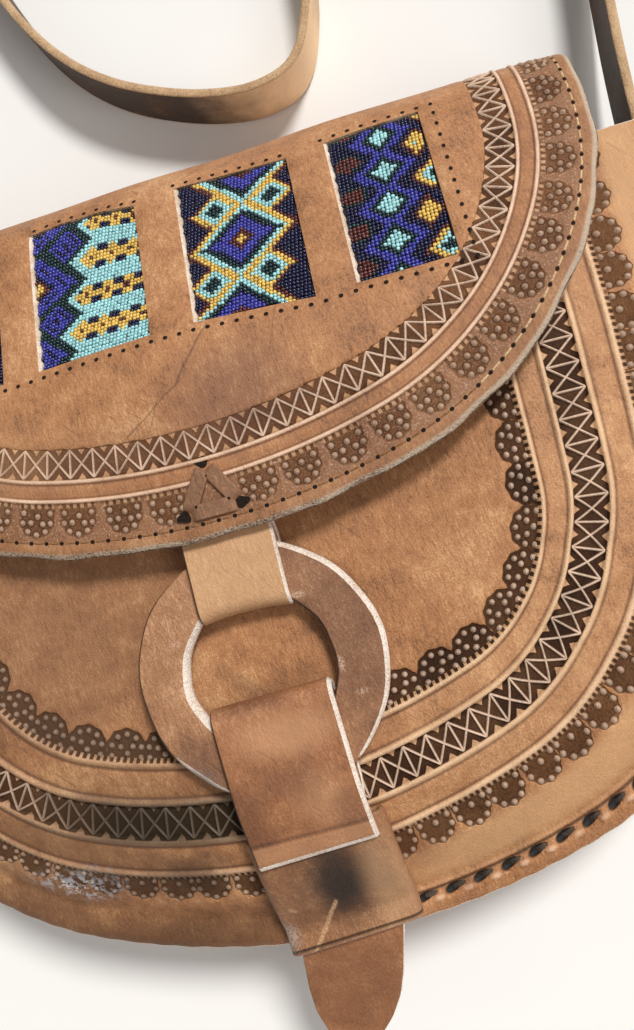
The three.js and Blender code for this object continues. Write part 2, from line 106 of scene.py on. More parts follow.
class Outline:
    """U of tangent arcs. Lengths along it are measured from the bottom middle, to the right."""

    def __init__(self, half_width, bottom, corner, wide, top):
        self.half, self.corner, self.wide = half_width, corner, wide
        self.corner_x = half_width - corner
        self.wide_y = bottom + wide
        self.corner_y = self.wide_y - math.sqrt((wide - corner) ** 2 - self.corner_x**2)
        self.join = math.atan2(self.corner_x, self.wide_y - self.corner_y)
        self.low = wide * self.join
        self.arc = corner * (math.pi / 2 - self.join)
        self.length = self.low + self.arc + top - self.corner_y

    def place(self, along, inset):
        reach = np.abs(along)
        low_angle = np.minimum(reach, self.low) / self.wide
        low_x = (self.wide - inset) * np.sin(low_angle)
        low_y = self.wide_y - (self.wide - inset) * np.cos(low_angle)
        angle = self.join + np.clip(reach - self.low, 0, self.arc) / self.corner
        arc_x = self.corner_x + (self.corner - inset) * np.sin(angle)
        arc_y = self.corner_y - (self.corner - inset) * np.cos(angle)
        side_y = self.corner_y + reach - self.low - self.arc
        x = np.where(reach <= self.low, low_x, arc_x)
        y = np.where(reach <= self.low, low_y, np.where(reach <= self.low + self.arc, arc_y, side_y))
        return np.sign(along) * x, y

    def inset(self, x, y):
        side = np.abs(x)
        from_wide = self.wide - np.hypot(side, self.wide_y - y)
        from_corner = self.corner - np.hypot(side - self.corner_x, y - self.corner_y)
        low = np.where(np.arctan2(side, self.wide_y - y) > self.join, from_corner, from_wide)
        return np.where(y >= self.corner_y, self.half - side, low)

    def half_width(self, y, inset):
        """Half the width at a height, at an inset."""
        corner = (self.corner - inset) ** 2 - (y - self.corner_y) ** 2
        wide = (self.wide - inset) ** 2 - (self.wide_y - y) ** 2
        join_y = self.wide_y - (self.wide - inset) * math.cos(self.join)
        in_corner = self.corner_x + np.sqrt(np.maximum(corner, 0))
        low = np.where(y >= join_y, in_corner, np.sqrt(np.maximum(wide, 0)))
        return np.where(y >= self.corner_y, self.half - inset, low)


body = Outline(*BODY_SHAPE, MOUTH_Y)


def panel_z(x, y):
    climb = np.clip((body.inset(x, y) - RIM_FLAT) / CLIMB, 0, 1)
    return RIM_Z + BELLY * (1 - (1 - climb) ** 2) * (1 - 0.9 * smooth(25, MOUTH_Y, y))


# Side profile of the flap, measured along the leather from its lower edge
FLAP_Y = 1.7
FLAP_SLOPE = math.radians(20)
BEND_RADIUS, SLOPE_RUN, BACK_RUN = 60, 41.2, 18.0
SLOPE_END_Z = FLAP_TOP - BEND_RADIUS * (1 - math.cos(FLAP_SLOPE)) - SLOPE_RUN * math.sin(FLAP_SLOPE)
FOLD_RADIUS = (SLOPE_END_Z - PANEL_T - GAP) / (1 + math.cos(FLAP_SLOPE))
FLAP_RUNS = [
    (36.2, 0.0),
    (BEND_RADIUS * FLAP_SLOPE, FLAP_SLOPE),
    (SLOPE_RUN, 0.0),
    (FOLD_RADIUS * (math.pi - FLAP_SLOPE), math.pi - FLAP_SLOPE),
    (BACK_RUN, 0.0),
]
FOLD_START = sum(run for run, _ in FLAP_RUNS[:3])
FOLD_END = FOLD_START + FLAP_RUNS[3][0]
FLAP_LENGTH = FOLD_END + BACK_RUN
flap = Outline(*FLAP_SHAPE, FLAP_LENGTH)

WINDOW_START, WINDOW_HEIGHT = 55.8, 47.6
WINDOW_TOP = WINDOW_START + WINDOW_HEIGHT
WINDOW_MIDDLE = WINDOW_START + WINDOW_HEIGHT / 2
WINDOWS = [(-64.6, 27.2), (-23.4, 33.2), (22.2, 33.2), (63.4, 27.2)]


def flap_profile(length):
    y = np.full_like(length, FLAP_Y)
    z = np.full_like(length, FLAP_TOP)
    heading = np.zeros_like(length)
    left = length.copy()
    for run, turn in FLAP_RUNS:
        step = np.clip(left, 0, run)
        if turn == 0:
            y = y + step * np.cos(heading)
            z = z - step * np.sin(heading)
        else:
            radius = run / turn
            following = heading + step / radius
            y = y + radius * (np.sin(following) - np.sin(heading))
            z = z + radius * (np.cos(following) - np.cos(heading))
            heading = following
        left = left - run
    return y, z, heading


def flap_point(x, length, depth):
    y, z, heading = flap_profile(np.asarray(length, float))
    sag = 0.0005 * x * x * (1 - smooth(FOLD_START, FOLD_END, length))
    return stack(x, y - depth * np.sin(heading), z - depth * np.cos(heading) - sag)


def link(thing):
    bpy.context.scene.collection.objects.link(thing)


def grid_faces(rows, columns, wrap_rows=False, wrap_columns=False):
    row = np.arange(rows if wrap_rows else rows - 1)
    column = np.arange(columns if wrap_columns else columns - 1)
    row, column = grids(row, column)
    here, ahead = row * columns, (row + 1) % rows * columns
    beside = (column + 1) % columns
    return stack(here + column, here + beside, ahead + beside, ahead + column).reshape(-1, 4)


def copies(faces, count, size):
    """Faces of many like meshes, each of so many points."""
    return (faces + np.arange(count)[:, None, None] * size).reshape(-1, faces.shape[1])


class Piece:
    """Mesh in the making: parts of vertices and faces, each with a material and point attributes."""

    def __init__(self, name):
        self.name = name
        self.points, self.faces, self.attributes = [], [], {}
        self.count = 0

    def add(self, points, faces, material=0, up=None, closed=False, **attributes):
        points = np.asarray(points, float).reshape(-1, 3)
        groups = faces if isinstance(faces, list) else [faces]
        if up is not None or closed:
            corners = points[groups[0]]
            cross = np.cross(corners[:, 1] - corners[:, 0], corners[:, 2] - corners[:, 0])
            if corners.shape[1] == 4:
                cross = np.cross(corners[:, 2] - corners[:, 0], corners[:, 3] - corners[:, 1])
            if closed:
                turned = (cross * (corners.mean(1) - points.mean(0))).sum() < 0
            else:
                turned = (cross @ np.asarray(up, float)).sum() < 0
            if turned:
                groups = [group[:, ::-1] for group in groups]
        for group in groups:
            self.faces.append((group + self.count, np.broadcast_to(material, (len(group),))))
        for key, values in attributes.items():
            values = np.asarray(values, float)
            if values.ndim == 0:
                values = np.full(len(points), values)
            self.attributes.setdefault(key, []).append((self.count, values.reshape(len(points), -1)))
        self.points.append(points)
        self.count += len(points)

    def sheet(self, points, material=0, up=None, wrap=(False, False), closed=False, **attributes):
        """Grid of points. Its attributes need only fit the grid."""
        shape = points.shape[:2]
        spread = {key: np.broadcast_to(values, shape) for key, values in attributes.items()}
        self.add(points, grid_faces(*shape, *wrap), material, up, closed, **spread)

    def cap(self, loop, material=0):
        self.faces.append((loop[None], np.array([material])))

    def build(self, materials, slot=None, replaces=(), sharp=None):
        mesh = bpy.data.meshes.new(self.name)
        points = np.concatenate(self.points) * MM
        loops = np.concatenate([group.ravel() for group, _ in self.faces])
        sizes = np.concatenate([np.full(len(group), group.shape[1]) for group, _ in self.faces])
        marks = np.concatenate([mark for _, mark in self.faces])
        mesh.vertices.add(len(points))
        mesh.vertices.foreach_set("co", points.ravel())
        mesh.loops.add(len(loops))
        mesh.loops.foreach_set("vertex_index", loops.astype(np.int32))
        mesh.polygons.add(len(sizes))
        starts = np.concatenate([[0], np.cumsum(sizes)[:-1]])
        mesh.polygons.foreach_set("loop_start", starts.astype(np.int32))
        mesh.polygons.foreach_set("material_index", marks.astype(np.int32))
        mesh.polygons.foreach_set("use_smooth", np.full(len(sizes), True))
        for key, chunks in self.attributes.items():
            width = chunks[0][1].shape[1]
            values = np.zeros((len(points), 4 if width == 3 else width))
            if width == 3:
                values[:, 3] = 1
            for start, chunk in chunks:
                values[start : start + len(chunk), :width] = chunk
            layer = mesh.attributes.new(key, "FLOAT" if width == 1 else "FLOAT_COLOR", "POINT")
            layer.data.foreach_set("value" if width == 1 else "color", values.ravel())
        for material in materials:
            mesh.materials.append(material)
        mesh.update()
        mesh.validate()
        if sharp is not None:
            mesh.set_sharp_from_angle(angle=math.radians(sharp))
        thing = bpy.data.objects.new(self.name, mesh)
        link(thing)
        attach(thing, "root")
        if replaces:
            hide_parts(*replaces)


# Shader graphs built from sums of signals


class Signal:
    """A number or a colour that a node gives, for use in sums."""

    def __init__(self, graph, socket):
        self.graph, self.socket = graph, socket

    def __add__(self, other):
        return self.graph.math("ADD", self, other)

    def __radd__(self, other):
        return self.graph.math("ADD", other, self)

    def __sub__(self, other):
        return self.graph.math("SUBTRACT", self, other)

    def __rsub__(self, other):
        return self.graph.math("SUBTRACT", other, self)

    def __mul__(self, other):
        return self.graph.math("MULTIPLY", self, other)

    def __truediv__(self, other):
        return self.graph.math("DIVIDE", self, other)

    def __abs__(self):
        return self.graph.math("ABSOLUTE", self)


def tone(red, green, blue):
    """Colour as seen on a screen, 0 to 255, as a light value."""
    parts = [value / 255 for value in (red, green, blue)]
    return tuple(p / 12.92 if p <= 0.04045 else ((p + 0.055) / 1.055) ** 2.4 for p in parts) + (1.0,)


# Sockets of the colours on a mix node
MIX_FIRST, MIX_SECOND, MIX_RESULT = 6, 7, 2
# Keeps the repeats' numbers above zero
CELL_SHIFT = 200.5


class Graph:
    def __init__(self, name):
        self.material = bpy.data.materials.new(name)
        self.material.use_nodes = True
        self.tree = self.material.node_tree
        self.tree.nodes.clear()
        self.shader = self.tree.nodes.new("ShaderNodeBsdfPrincipled")
        output = self.tree.nodes.new("ShaderNodeOutputMaterial")
        self.tree.links.new(self.shader.outputs["BSDF"], output.inputs["Surface"])

    def put(self, socket, value):
        """Give a socket a signal, a number or a colour on the screen's scale."""
        if isinstance(value, Signal):
            self.tree.links.new(value.socket, socket)
        else:
            socket.default_value = tone(*value) if isinstance(value, tuple) else value

    def make(self, kind, inputs, output=0, **settings):
        """Signal from a new node."""
        node = self.tree.nodes.new("ShaderNode" + kind)
        for key, value in settings.items():
            setattr(node, key, value)
        for key, value in inputs.items():
            self.put(node.inputs[key], value)
        return Signal(self, node.outputs[output])

    def math(self, operation, *values):
        return self.make("Math", dict(enumerate(values)), operation=operation)

    def smaller(self, a, b):
        return self.math("MINIMUM", a, b)

    def larger(self, a, b):
        return self.math("MAXIMUM", a, b)

    def length(self, a, b):
        return self.math("SQRT", a * a + b * b)

    def step(self, start, end, value):
        """0 at start, 1 at end, with a smooth rise. start may lie above end."""
        falls = start > end
        limits = {"From Min": min(start, end), "From Max": max(start, end)}
        ends = {"To Min": float(falls), "To Max": float(not falls)}
        return self.make("MapRange", {"Value": value, **limits, **ends}, interpolation_type="SMOOTHSTEP")

    def band(self, start, end, value, soft=0.3):
        return self.step(start - soft, start + soft, value) * self.step(end + soft, end - soft, value)

    def attribute(self, name, output="Fac"):
        return self.make("Attribute", {}, output, attribute_name=name)

    def place(self):
        """X, Y and Z of the point on the object, in millimetres."""
        where = self.make("TexCoord", {}, "Object")
        scaled = self.make("VectorMath", {0: where, "Scale": 1 / MM}, operation="SCALE")
        split = self.make("SeparateXYZ", {0: scaled})
        return [Signal(self, socket) for socket in split.socket.node.outputs]

    def vector(self, *parts):
        return self.make("CombineXYZ", dict(enumerate(parts)))

    def noise(self, vector, scale=1.0, detail=2.0, rough=0.5):
        inputs = {"Vector": vector, "Scale": scale, "Detail": detail, "Roughness": rough}
        return self.make("TexNoise", inputs)

    def chance(self, value):
        return self.make("TexWhiteNoise", {"W": value}, "Value", noise_dimensions="1D")

    def mix(self, part, first, second, blend="MIX"):
        inputs = {0: part, MIX_FIRST: first, MIX_SECOND: second}
        return self.make("Mix", inputs, MIX_RESULT, data_type="RGBA", blend_type=blend)

    def cell(self, run, pitch):
        """Distance from the middle of the repeat, and the repeat's own number."""
        turn = run / pitch + CELL_SHIFT
        number = self.math("FLOOR", turn)
        return (turn - number - 0.5) * pitch, number

    def finish(self, colour, rough, height, specular=0.4):
        bump = self.make("Bump", {"Strength": 1.0, "Distance": MM, "Height": height}, "Normal")
        names = ("Base Color", "Roughness", "Specular IOR Level", "Normal")
        for name, value in zip(names, (colour, rough, specular, bump)):
            self.put(self.shader.inputs[name], value)
        return self.material


class Leather(Graph):
    """Worn vegetable-tanned leather, to be painted over and stamped."""

    def __init__(self, name, dark, mid, light, contrast=1.0):
        super().__init__(name)
        self.x, self.y, z = x, y, z = self.place()
        self.flat = self.vector(x, y, z)
        self.cloud = cloud = self.noise(self.flat, 0.13, 4, 0.6)
        self.speck = speck = self.noise(self.flat, 1.9, 3, 0.7)
        mottle = self.noise(self.flat, 0.03, 4, 0.6)
        fibre = self.noise(self.vector(x * 1.7 + y * 0.25, y * 0.45, z * 1.7), 1.0, 4, 0.7)
        streak = self.noise(self.vector(x * 0.7, y * 0.12, z * 0.7), 1.0, 2, 0.6)
        lines = self.noise(self.vector(x * 1.1 + cloud * 6, y * 0.07, z * 1.1), 1.0, 1, 0.4)
        scratches = self.step(0.72, 0.77, lines)
        nicks = self.noise(self.vector((x + y) * 0.6, (x - y) * 0.07 + cloud * 2, z * 0.4), 1.0, 1, 0.4)
        scars = self.step(0.70, 0.75, nicks)
        worn = mottle - 0.5 + (cloud - 0.5) * 0.8 + (fibre - 0.5) + (streak - 0.5) * 0.4
        worn = (worn + (speck - 0.5) * 0.9) * contrast + 0.5
        self.colour = self.mix(self.step(-0.15, 0.55, worn), dark, mid)
        self.paint(self.step(0.45, 1.15, worn), light)
        self.paint(scratches * 0.35, light)
        self.paint(scars * 0.3, dark)
        self.height = (fibre - 0.5) * 0.2 + (cloud - 0.5) * 0.3 + (speck - 0.5) * 0.16
        self.height += scratches * 0.03 - scars * 0.05
        self.rough = 0.55 + (cloud - 0.5) * 0.3 - scratches * 0.05 + (fibre - 0.5) * 0.2

    def paint(self, part, colour):
        self.colour = self.mix(part, self.colour, colour)

    def wear(self):
        return self.step(0.32, 0.68, self.cloud * 0.5 + self.speck * 0.5)

    def blot(self, centre, size):
        """1 inside a soft spot on the bag, seen from above."""
        far = self.length((self.x - centre[0]) / size[0], (self.y - centre[1]) / size[1])
        return self.step(1.4, 0.25, far + (self.cloud - 0.5) * 0.7)

    def spot_paint(self, stains):
        for centre, size, strength, colour in stains:
            self.paint(self.blot(centre, size) * strength, colour)

    def scratch(self, start, end, width):
        """1 along a thin mark between two places on the bag, seen from above."""
        (ax, ay), (bx, by) = start, end
        x, y = self.x - ax, self.y - ay
        long = math.hypot(bx - ax, by - ay)
        along = (x * (bx - ax) + y * (by - ay)) / long
        aside = (x * (by - ay) - y * (bx - ax)) / long
        near = self.step(width, width * 0.3, abs(aside + (self.cloud - 0.5) * 1.5))
        return self.band(0.0, long, along, 0.8) * near

    def done(self, rough=None, specular=0.4):
        return self.finish(self.colour, rough or self.rough, self.height, specular)


TAN_DARK = (116, 76, 46)
TAN = (174, 120, 78)
TAN_LIGHT = (216, 168, 120)
RECESS = (36, 23, 17)
RECESS_RED = (84, 52, 36)
RAISED = (224, 180, 138)
CREAM = (252, 240, 228)
# pale colour for real scuffs and for painted highlights
SCUFF_AND_GLINT = (240, 208, 182)
EDGE_SHADE = (46, 34, 27)


def raw_edge(name, base=(242, 226, 210), deep=(204, 178, 154)):
    """Cut edge of leather: pale, fuzzy, layered."""
    graph = Graph(name)
    x, y, z = graph.place()
    flat = graph.vector(x, y, z)
    fuzz = graph.noise(flat, 1.9, 3, 0.7)
    patch = graph.noise(flat, 0.16, 2, 0.5)
    layers = graph.noise(graph.vector(x * 0.25, y * 0.25, z * 2.6), 1.0, 2, 0.6)
    colour = graph.mix(graph.step(0.38, 0.62, fuzz * 0.6 + patch * 0.4), deep, base)
    colour = graph.mix(graph.step(0.56, 0.74, layers) * 0.45, colour, deep)
    return graph.finish(colour, 0.85 + (fuzz - 0.5) * 0.1, (fuzz - 0.5) * 0.35, 0.25)


def plain_leather(
    name,
    dark=TAN_DARK,
    mid=TAN,
    light=TAN_LIGHT,
    contrast=1.0,
    spots=(),
    streaks=(),
    crease_shading=None,
    late=(),
    cut_tones=((204, 176, 152), CREAM),
):
    """Leather with stains, scratches, spots that are partly painted light and shade, a crease's painted
    shading, a pale cut edge where raw is high and painted shade on an edge where raw is below 0.
    """
    skin = Leather(name, dark, mid, light, contrast)
    step, speck = skin.step, skin.speck
    for centre, size, strength, spot_paint in spots:
        skin.paint(skin.blot(centre, size) * (strength - (speck - 0.5) * 0.4), spot_paint)
    for start, end, width, strength in streaks:
        skin.paint(skin.scratch(start, end, width) * strength * step(0.3, 0.55, speck), RAISED)
    # painted shading of a crease: a painted highlight between it and the end, painted shade in the crease
    if crease_shading:
        reach = skin.attribute("reach")
        place, strength, soft = crease_shading
        line = skin.band(place, place + 0.7, reach, soft)
        skin.paint(skin.band(0.6, place, reach, 0.8) * step(20.0, 10.0, reach) * 0.45, light)
        skin.paint(line * strength, RECESS)
        skin.height -= line * 0.5
    raw = skin.attribute("raw")
    bare = step(0.38, 0.62, raw + (speck - 0.5) * 0.5 * step(0.02, 0.2, raw))
    skin.paint(bare, skin.mix(step(0.35, 0.6, speck * 0.6 + skin.cloud * 0.4), *cut_tones))
    # painted shade on the edges where raw is below 0
    skin.paint(step(-0.15, -0.6, raw) * 0.8, EDGE_SHADE)
    for centre, size, strength, spot_paint in late:
        skin.paint(skin.blot(centre, size) * strength * step(0.35, 0.6, speck), spot_paint)
    skin.height += bare * (speck - 0.5) * 0.3
    return skin.done(skin.rough + bare * 0.2)


# Bands of tooling on the front panel, by distance from the rim on the tool's own measure
FANS_IN = 26.0
RIDGE_FANS, RIDGE_ZIG_OUT = 26.6, 36.6
ZIG_OUT, ZIG_IN = 37.4, 47.2
RIDGE_ZIG_IN, RIDGE_SCALLOP = 48.0, 58.0
RIDGES = (RIDGE_FANS, RIDGE_ZIG_OUT, RIDGE_ZIG_IN, RIDGE_SCALLOP)
SCALLOP_FOOT = RIDGE_SCALLOP + 0.5
LACE_INSET, LACE_PITCH = 5.2, 8.4
ZIG_PITCH = 6.6
# Measures that lie clear of the tooling and of the lacing
PLAIN_INSET, NO_LACE = 90.0, 50.0
# Bands of tooling on the flap, by distance from its edge along the leather
FLAP_RAW, FLAP_STITCH = 1.1, 3.9
FLAP_FANS_IN = 14.4
FLAP_RIDGES = (15.06, 20.24)
FLAP_ZIG_OUT, FLAP_ZIG_IN = 20.8, 29.0
# Rows of lobes: pitch, half width, height of the arc's centre,
# then the radius of the ring of bosses, the bosses' own radius and the number inside the ring
SCALLOPS = (11.2, 6.0, 3.0, 4.4, 0.88, 3)
FANS = (11.0, 5.3, 3.6, 4.5, 0.95, 1)
FLAP_FANS = (12.5, 5.2, 4.0, 4.2, 0.85, 3)
DOT_PACE = math.radians(37)
LOBE_SWAY, LOBE_PACE = 0.3, 2.4
THONG_HALF = 6.25  # the flap has no lobe under its thong


def lobes(graph, run, up, row):
    """Ground of a row of stamped lobes, the repeat's number, and the comb of teeth at its foot."""
    pitch, half, straight = row[:3]
    across, number = graph.cell(run, pitch)
    across = across + graph.math("SINE", number * LOBE_PACE) * LOBE_SWAY
    ripple, _ = graph.cell(graph.math("ARCTAN2", across, up - straight), DOT_PACE)
    edge = graph.length(across, graph.larger(up - straight, 0.0)) - half - 0.2 + abs(ripple) * 1.5
    lobe = graph.step(0.25, -0.3, edge) * graph.step(1.0, 1.5, up)
    tooth, _ = graph.cell(run, pitch / 6)
    foot = graph.band(0.1, 1.4, up, 0.25)
    notch = graph.step(0.65, 0.3, abs(tooth)) * foot
    near = graph.step(half + 0.2, half - 0.2, abs(across))
    return graph.larger(lobe, notch * near), number, (1.0 - notch) * near * foot


def crosses(graph, run, up, width):
    """Ground of a band of crossed lines, the repeat's number, and small teeth on both sides."""
    tooth, number = graph.cell(run, ZIG_PITCH)
    rim = graph.smaller(up, width - up)
    teeth = graph.step(0.25, -0.25, rim - 1.7 + abs(tooth) * 1.4)
    inside = graph.band(0.0, width, up, 0.2)
    return inside * (1.0 - teeth), number, inside * teeth


def tooled_panel():
    skin = Leather("panel_leather", TAN_DARK, TAN, TAN_LIGHT, 1.3)
    step, band, paint = skin.step, skin.band, skin.paint
    x, cloud, wear = skin.x, skin.cloud, skin.wear()
    inset, mark = skin.attribute("tool_inset"), skin.attribute("boss")
    left = step(-10.0, -45.0, x) * step(-84.0, -66.0, x)
    left_highlight_fade = 1.0 - step(0.0, -40.0, x) * 0.55
    # painted shade in the grooves beside the ridges and painted highlights on their crests, less on the left
    for ridge in RIDGES:
        near = abs(inset - ridge)
        paint(step(0.9, 1.3, near) * step(2.2, 1.4, near) * 0.75, RECESS_RED)
        paint(step(1.2, 0.4, near) * (0.5 + wear * 0.5) * left_highlight_fade, (236, 200, 162))
    # painted light: the margin lighter towards the right
    paint(band(8.5, 17.5, inset, 2.0) * step(-20.0, 50.0, x) * 0.6, (220, 172, 124))
    # painted light: the plain bands lighter towards the right, more where worn
    plain = band(RIDGE_FANS + 1.5, RIDGE_SCALLOP - 1.5, inset, 1.0)
    paint(plain * step(0.0, 50.0, x) * (0.05 + wear * 0.25), (226, 180, 136))
    sets = [
        lobes(skin, skin.attribute("run_scallop"), inset - SCALLOP_FOOT, SCALLOPS),
        crosses(skin, skin.attribute("run_zig"), inset - ZIG_OUT, ZIG_IN - ZIG_OUT),
        lobes(skin, skin.attribute("run_fan"), FANS_IN - inset, FANS),
    ]
    sunk = sets[0][0]
    deep = skin.mix(wear * 0.4, RECESS, RECESS_RED)
    deep = skin.mix(left * 0.8, deep, (36, 36, 31))
    for (ground, number, teeth), shade in zip(sets, (0.97, 0.98, 0.8)):
        paint(teeth * (0.2 + wear * 0.5), RAISED)
        paint(step(0.15, 0.75, ground) * (shade - skin.chance(number + 7.0) * 0.1), deep)
        skin.height -= ground * 0.3
        sunk = skin.larger(sunk, ground)
    boss = skin.larger(mark, 0.0)
    # painted shade round the feet of the bosses and raised lines, painted highlights on their tops, less on
    # the left
    paint(skin.larger(mark * -1.0, 0.0), RECESS)
    paint(boss * (0.5 + wear * 0.5) * (1.0 - left * 0.45), SCUFF_AND_GLINT)
    # lacing: painted shade in the wedge-shaped slots, greyer where the thong shows, and in a groove line above
    # them, with a painted highlight on the edge above that and on the lips between
    lace, _ = skin.cell(skin.attribute("run_rim"), LACE_PITCH)
    off, shown = skin.attribute("lace_off"), skin.attribute("lace_shown")
    hole = step(1.15, 0.85, lace_slot(lace, off, skin.length)) * shown
    groove = band(0.9, 1.5, off, 0.3) * shown
    paint(groove * 0.8, RECESS)
    paint(band(1.8, 2.5, off, 0.3) * shown * (0.1 + wear * 0.35), RAISED)
    lip = step(1.05, 0.2, skin.length((lace - 2.5) / 2.0, (off + 1.3) / 1.1)) * shown
    paint(lip * (0.35 + wear * 0.4), (236, 196, 164))
    paint(hole, skin.mix(step(-1.0, 2.2, lace) * (0.3 + wear * 0.4), (10, 9, 8), (110, 92, 78)))
    skin.height += lip * 0.1 - hole * 0.3 - groove * 0.15
    # stains of use, greenish black by the strap and pale residue at the lower left; painted shade on the left,
    # at the lower-left rim and inside the ring
    skin.spot_paint(
        [
            ((-38, -88), (15, 8), 0.65, (52, 35, 25)),
            ((-70, -88), (34, 9), 0.45, (78, 52, 42)),
            ((-62, -72), (46, 16), 0.3, (92, 68, 50)),
            # painted shade: the left field and bands, the lower-left rim and the field inside the ring
            ((-62, -18), (44, 40), 0.45, (114, 82, 62)),
            ((-55, -66), (60, 16), 0.35, (96, 68, 46)),
            ((-60, -106), (60, 9), 0.5, (92, 60, 36)),
            ((4, -46), (20, 9), 0.4, (112, 72, 48)),
            ((24, -92), (12, 8), 0.3, (104, 68, 46)),
        ]
    )
    # painted shade in a crease of the field inside the ring
    paint(skin.scratch((-14, -32), (2, -47), 3.2) * 0.28, RECESS_RED)
    grime = band(36.0, 48.6, inset, 1.6) * band(-64.0, -8.0, x + (cloud - 0.5) * 12, 12.0)
    paint(grime * 0.66, (24, 26, 19))
    shade = step(18.0, 3.0, inset + (cloud - 0.5) * 8) * step(0.0, -30.0, x)
    paint(shade * 0.6, (80, 52, 33))
    crust = step(0.46, 0.6, skin.noise(skin.flat, 0.5, 3, 0.65))
    paint(skin.blot((-78, -86), (17, 7)) * crust * step(11.0, 17.0, inset) * 0.6, (206, 210, 216))
    return skin.done(skin.rough - boss * 0.12, 0.4 - sunk * (1.0 - boss) * 0.34)


def lace_slot(lace, off, length):
    """1 on the rim of the lacing's wedge-shaped slot."""
    part = lace + 0.8
    return length(part / 3.1, (off - part * 0.14) / (0.95 - part * 0.17))


def tooled_flap():
    skin = Leather("flap_leather", (116, 76, 48), (176, 122, 80), (216, 168, 122), 1.25)
    step, band, paint = skin.step, skin.band, skin.paint
    cloud, speck, wear = skin.cloud, skin.speck, skin.wear()
    inset, mark = skin.attribute("tool_inset"), skin.attribute("boss")
    run_fan = skin.attribute("run_fan")
    fans = band(4.6, 14.6, inset, 0.6)
    paint(fans * (0.3 + wear * 0.45), (98, 64, 46))
    paint(band(15.6, 19.8, inset, 0.4) * 0.2, (140, 92, 66))
    # painted shade beside the ridges and painted highlights on their crests
    for ridge in FLAP_RIDGES:
        near = abs(inset - ridge)
        paint(step(0.45, 0.75, near) * step(1.35, 0.85, near) * 0.55, RECESS_RED)
        paint(step(0.6, 0.2, near) * (0.5 + wear * 0.5), SCUFF_AND_GLINT)
    # worn crumbs of the tooled ground
    tooled = fans * 0.45 + band(FLAP_ZIG_OUT, FLAP_ZIG_IN, inset, 0.4) * 0.2
    paint(tooled * step(0.55, 0.68, speck), SCUFF_AND_GLINT)
    paint(tooled * step(0.45, 0.32, speck), RECESS_RED)
    lobe, lobe_number, lobe_teeth = lobes(skin, run_fan, FLAP_FANS_IN - inset, FLAP_FANS)
    lobe = lobe * step(THONG_HALF - 0.1, THONG_HALF + 0.1, abs(run_fan))
    sets = [
        crosses(skin, skin.attribute("run_zig"), FLAP_ZIG_IN - inset, FLAP_ZIG_IN - FLAP_ZIG_OUT),
        (lobe, lobe_number, lobe_teeth),
    ]
    deep = skin.mix(wear * 0.55, (52, 33, 24), RECESS_RED)
    for (ground, number, teeth), shade in zip(sets, (0.92, 0.62)):
        paint(teeth * (0.15 + wear * 0.5), RAISED)
        paint(ground * (shade - skin.chance(number + 3.0) * 0.25), deep)
        skin.height -= ground * 0.2
    sunk = skin.larger(sets[0][0], lobe)
    boss = skin.larger(mark, 0.0)
    # painted shade round the feet of the bosses and raised lines, painted highlights on their tops
    paint(skin.larger(mark * -1.1, 0.0), RECESS)
    paint(boss * (0.4 + wear * 0.6), SCUFF_AND_GLINT)
    # margin and cut edges
    paint(band(FLAP_RAW, 4.9, inset, 0.3) * 0.35, (112, 76, 52))
    raw = step(FLAP_RAW + 0.5, FLAP_RAW - 0.6, inset + (speck - 0.5) * 1.4)
    # the cut edge a little paler towards the right: painted light
    pale = step(0.36, 0.62, speck * 0.7 + cloud * 0.3 + step(10.0, 90.0, skin.x) * 0.14)
    paint(raw * 0.92, skin.mix(pale, (92, 70, 52), (214, 194, 172)))
    skin.height += raw * (speck - 0.5) * 0.7
    paint(band(29.4, 29.9, inset, 0.3) * 0.3, RAISED)
    for start, end, width, strength in (
        ((9, 57), (-2, 43), 0.5, 0.5),
        ((-1, 43.5), (-19, 32.5), 0.45, 0.45),
        ((-7, 42), (-13, 31), 0.35, 0.3),
        ((30, 62), (24, 44), 0.35, 0.3),
    ):
        paint(skin.scratch(start, end, width) * strength, RECESS_RED)
    skin.spot_paint(
        [
            ((12, 37), (19, 14), 0.45, (104, 70, 60)),
            ((-26, 30), (30, 8), 0.25, (130, 90, 70)),
            ((-62, 34), (26, 12), 0.2, (206, 160, 120)),
        ]
    )
    return skin.done(specular=0.4 - sunk * (1.0 - boss) * 0.34)


def laced_back():
    """Back leather, with the lacing's slots along its rim."""
    skin = Leather("back_panel_leather", TAN_DARK, TAN, TAN_LIGHT, 1.3)
    off = skin.attribute("tool_inset") - LACE_INSET
    lace, _ = skin.cell(skin.attribute("run_rim"), LACE_PITCH)
    hole = skin.step(1.12, 0.8, skin.length(lace / 2.1, off / 1.2))
    groove = skin.band(1.2, 2.0, off, 0.35)
    # painted shade in the lacing's slots and along their groove
    skin.paint(hole, (30, 24, 22))
    skin.paint(groove * 0.4, RECESS_RED)
    skin.height -= hole * 1.0 + groove * 0.2
    return skin.done()


def bead_glass():
    graph = Graph("beadwork")
    speck = graph.noise(graph.vector(*graph.place()), 0.9, 1, 0.5)
    colour = graph.attribute("bead_colour", "Color")
    colour = graph.mix(graph.step(0.35, 0.75, speck) * 0.25, colour, (255, 255, 255), "SOFT_LIGHT")
    graph.shader.inputs["Coat Weight"].default_value = 0.3
    graph.shader.inputs["Coat Roughness"].default_value = 0.12
    return graph.finish(colour, 0.22 + speck * 0.1, (speck - 0.5) * 0.02, 0.5)


def fibre_material(name, dark, light, scale, rough=0.8):
    graph = Graph(name)
    twist = graph.noise(graph.vector(*graph.place()), scale, 3, 0.6)
    colour = graph.mix(graph.step(0.3, 0.7, twist), dark, light)
    return graph.finish(colour, rough + (twist - 0.5) * 0.1, (twist - 0.5) * 0.1, 0.25)


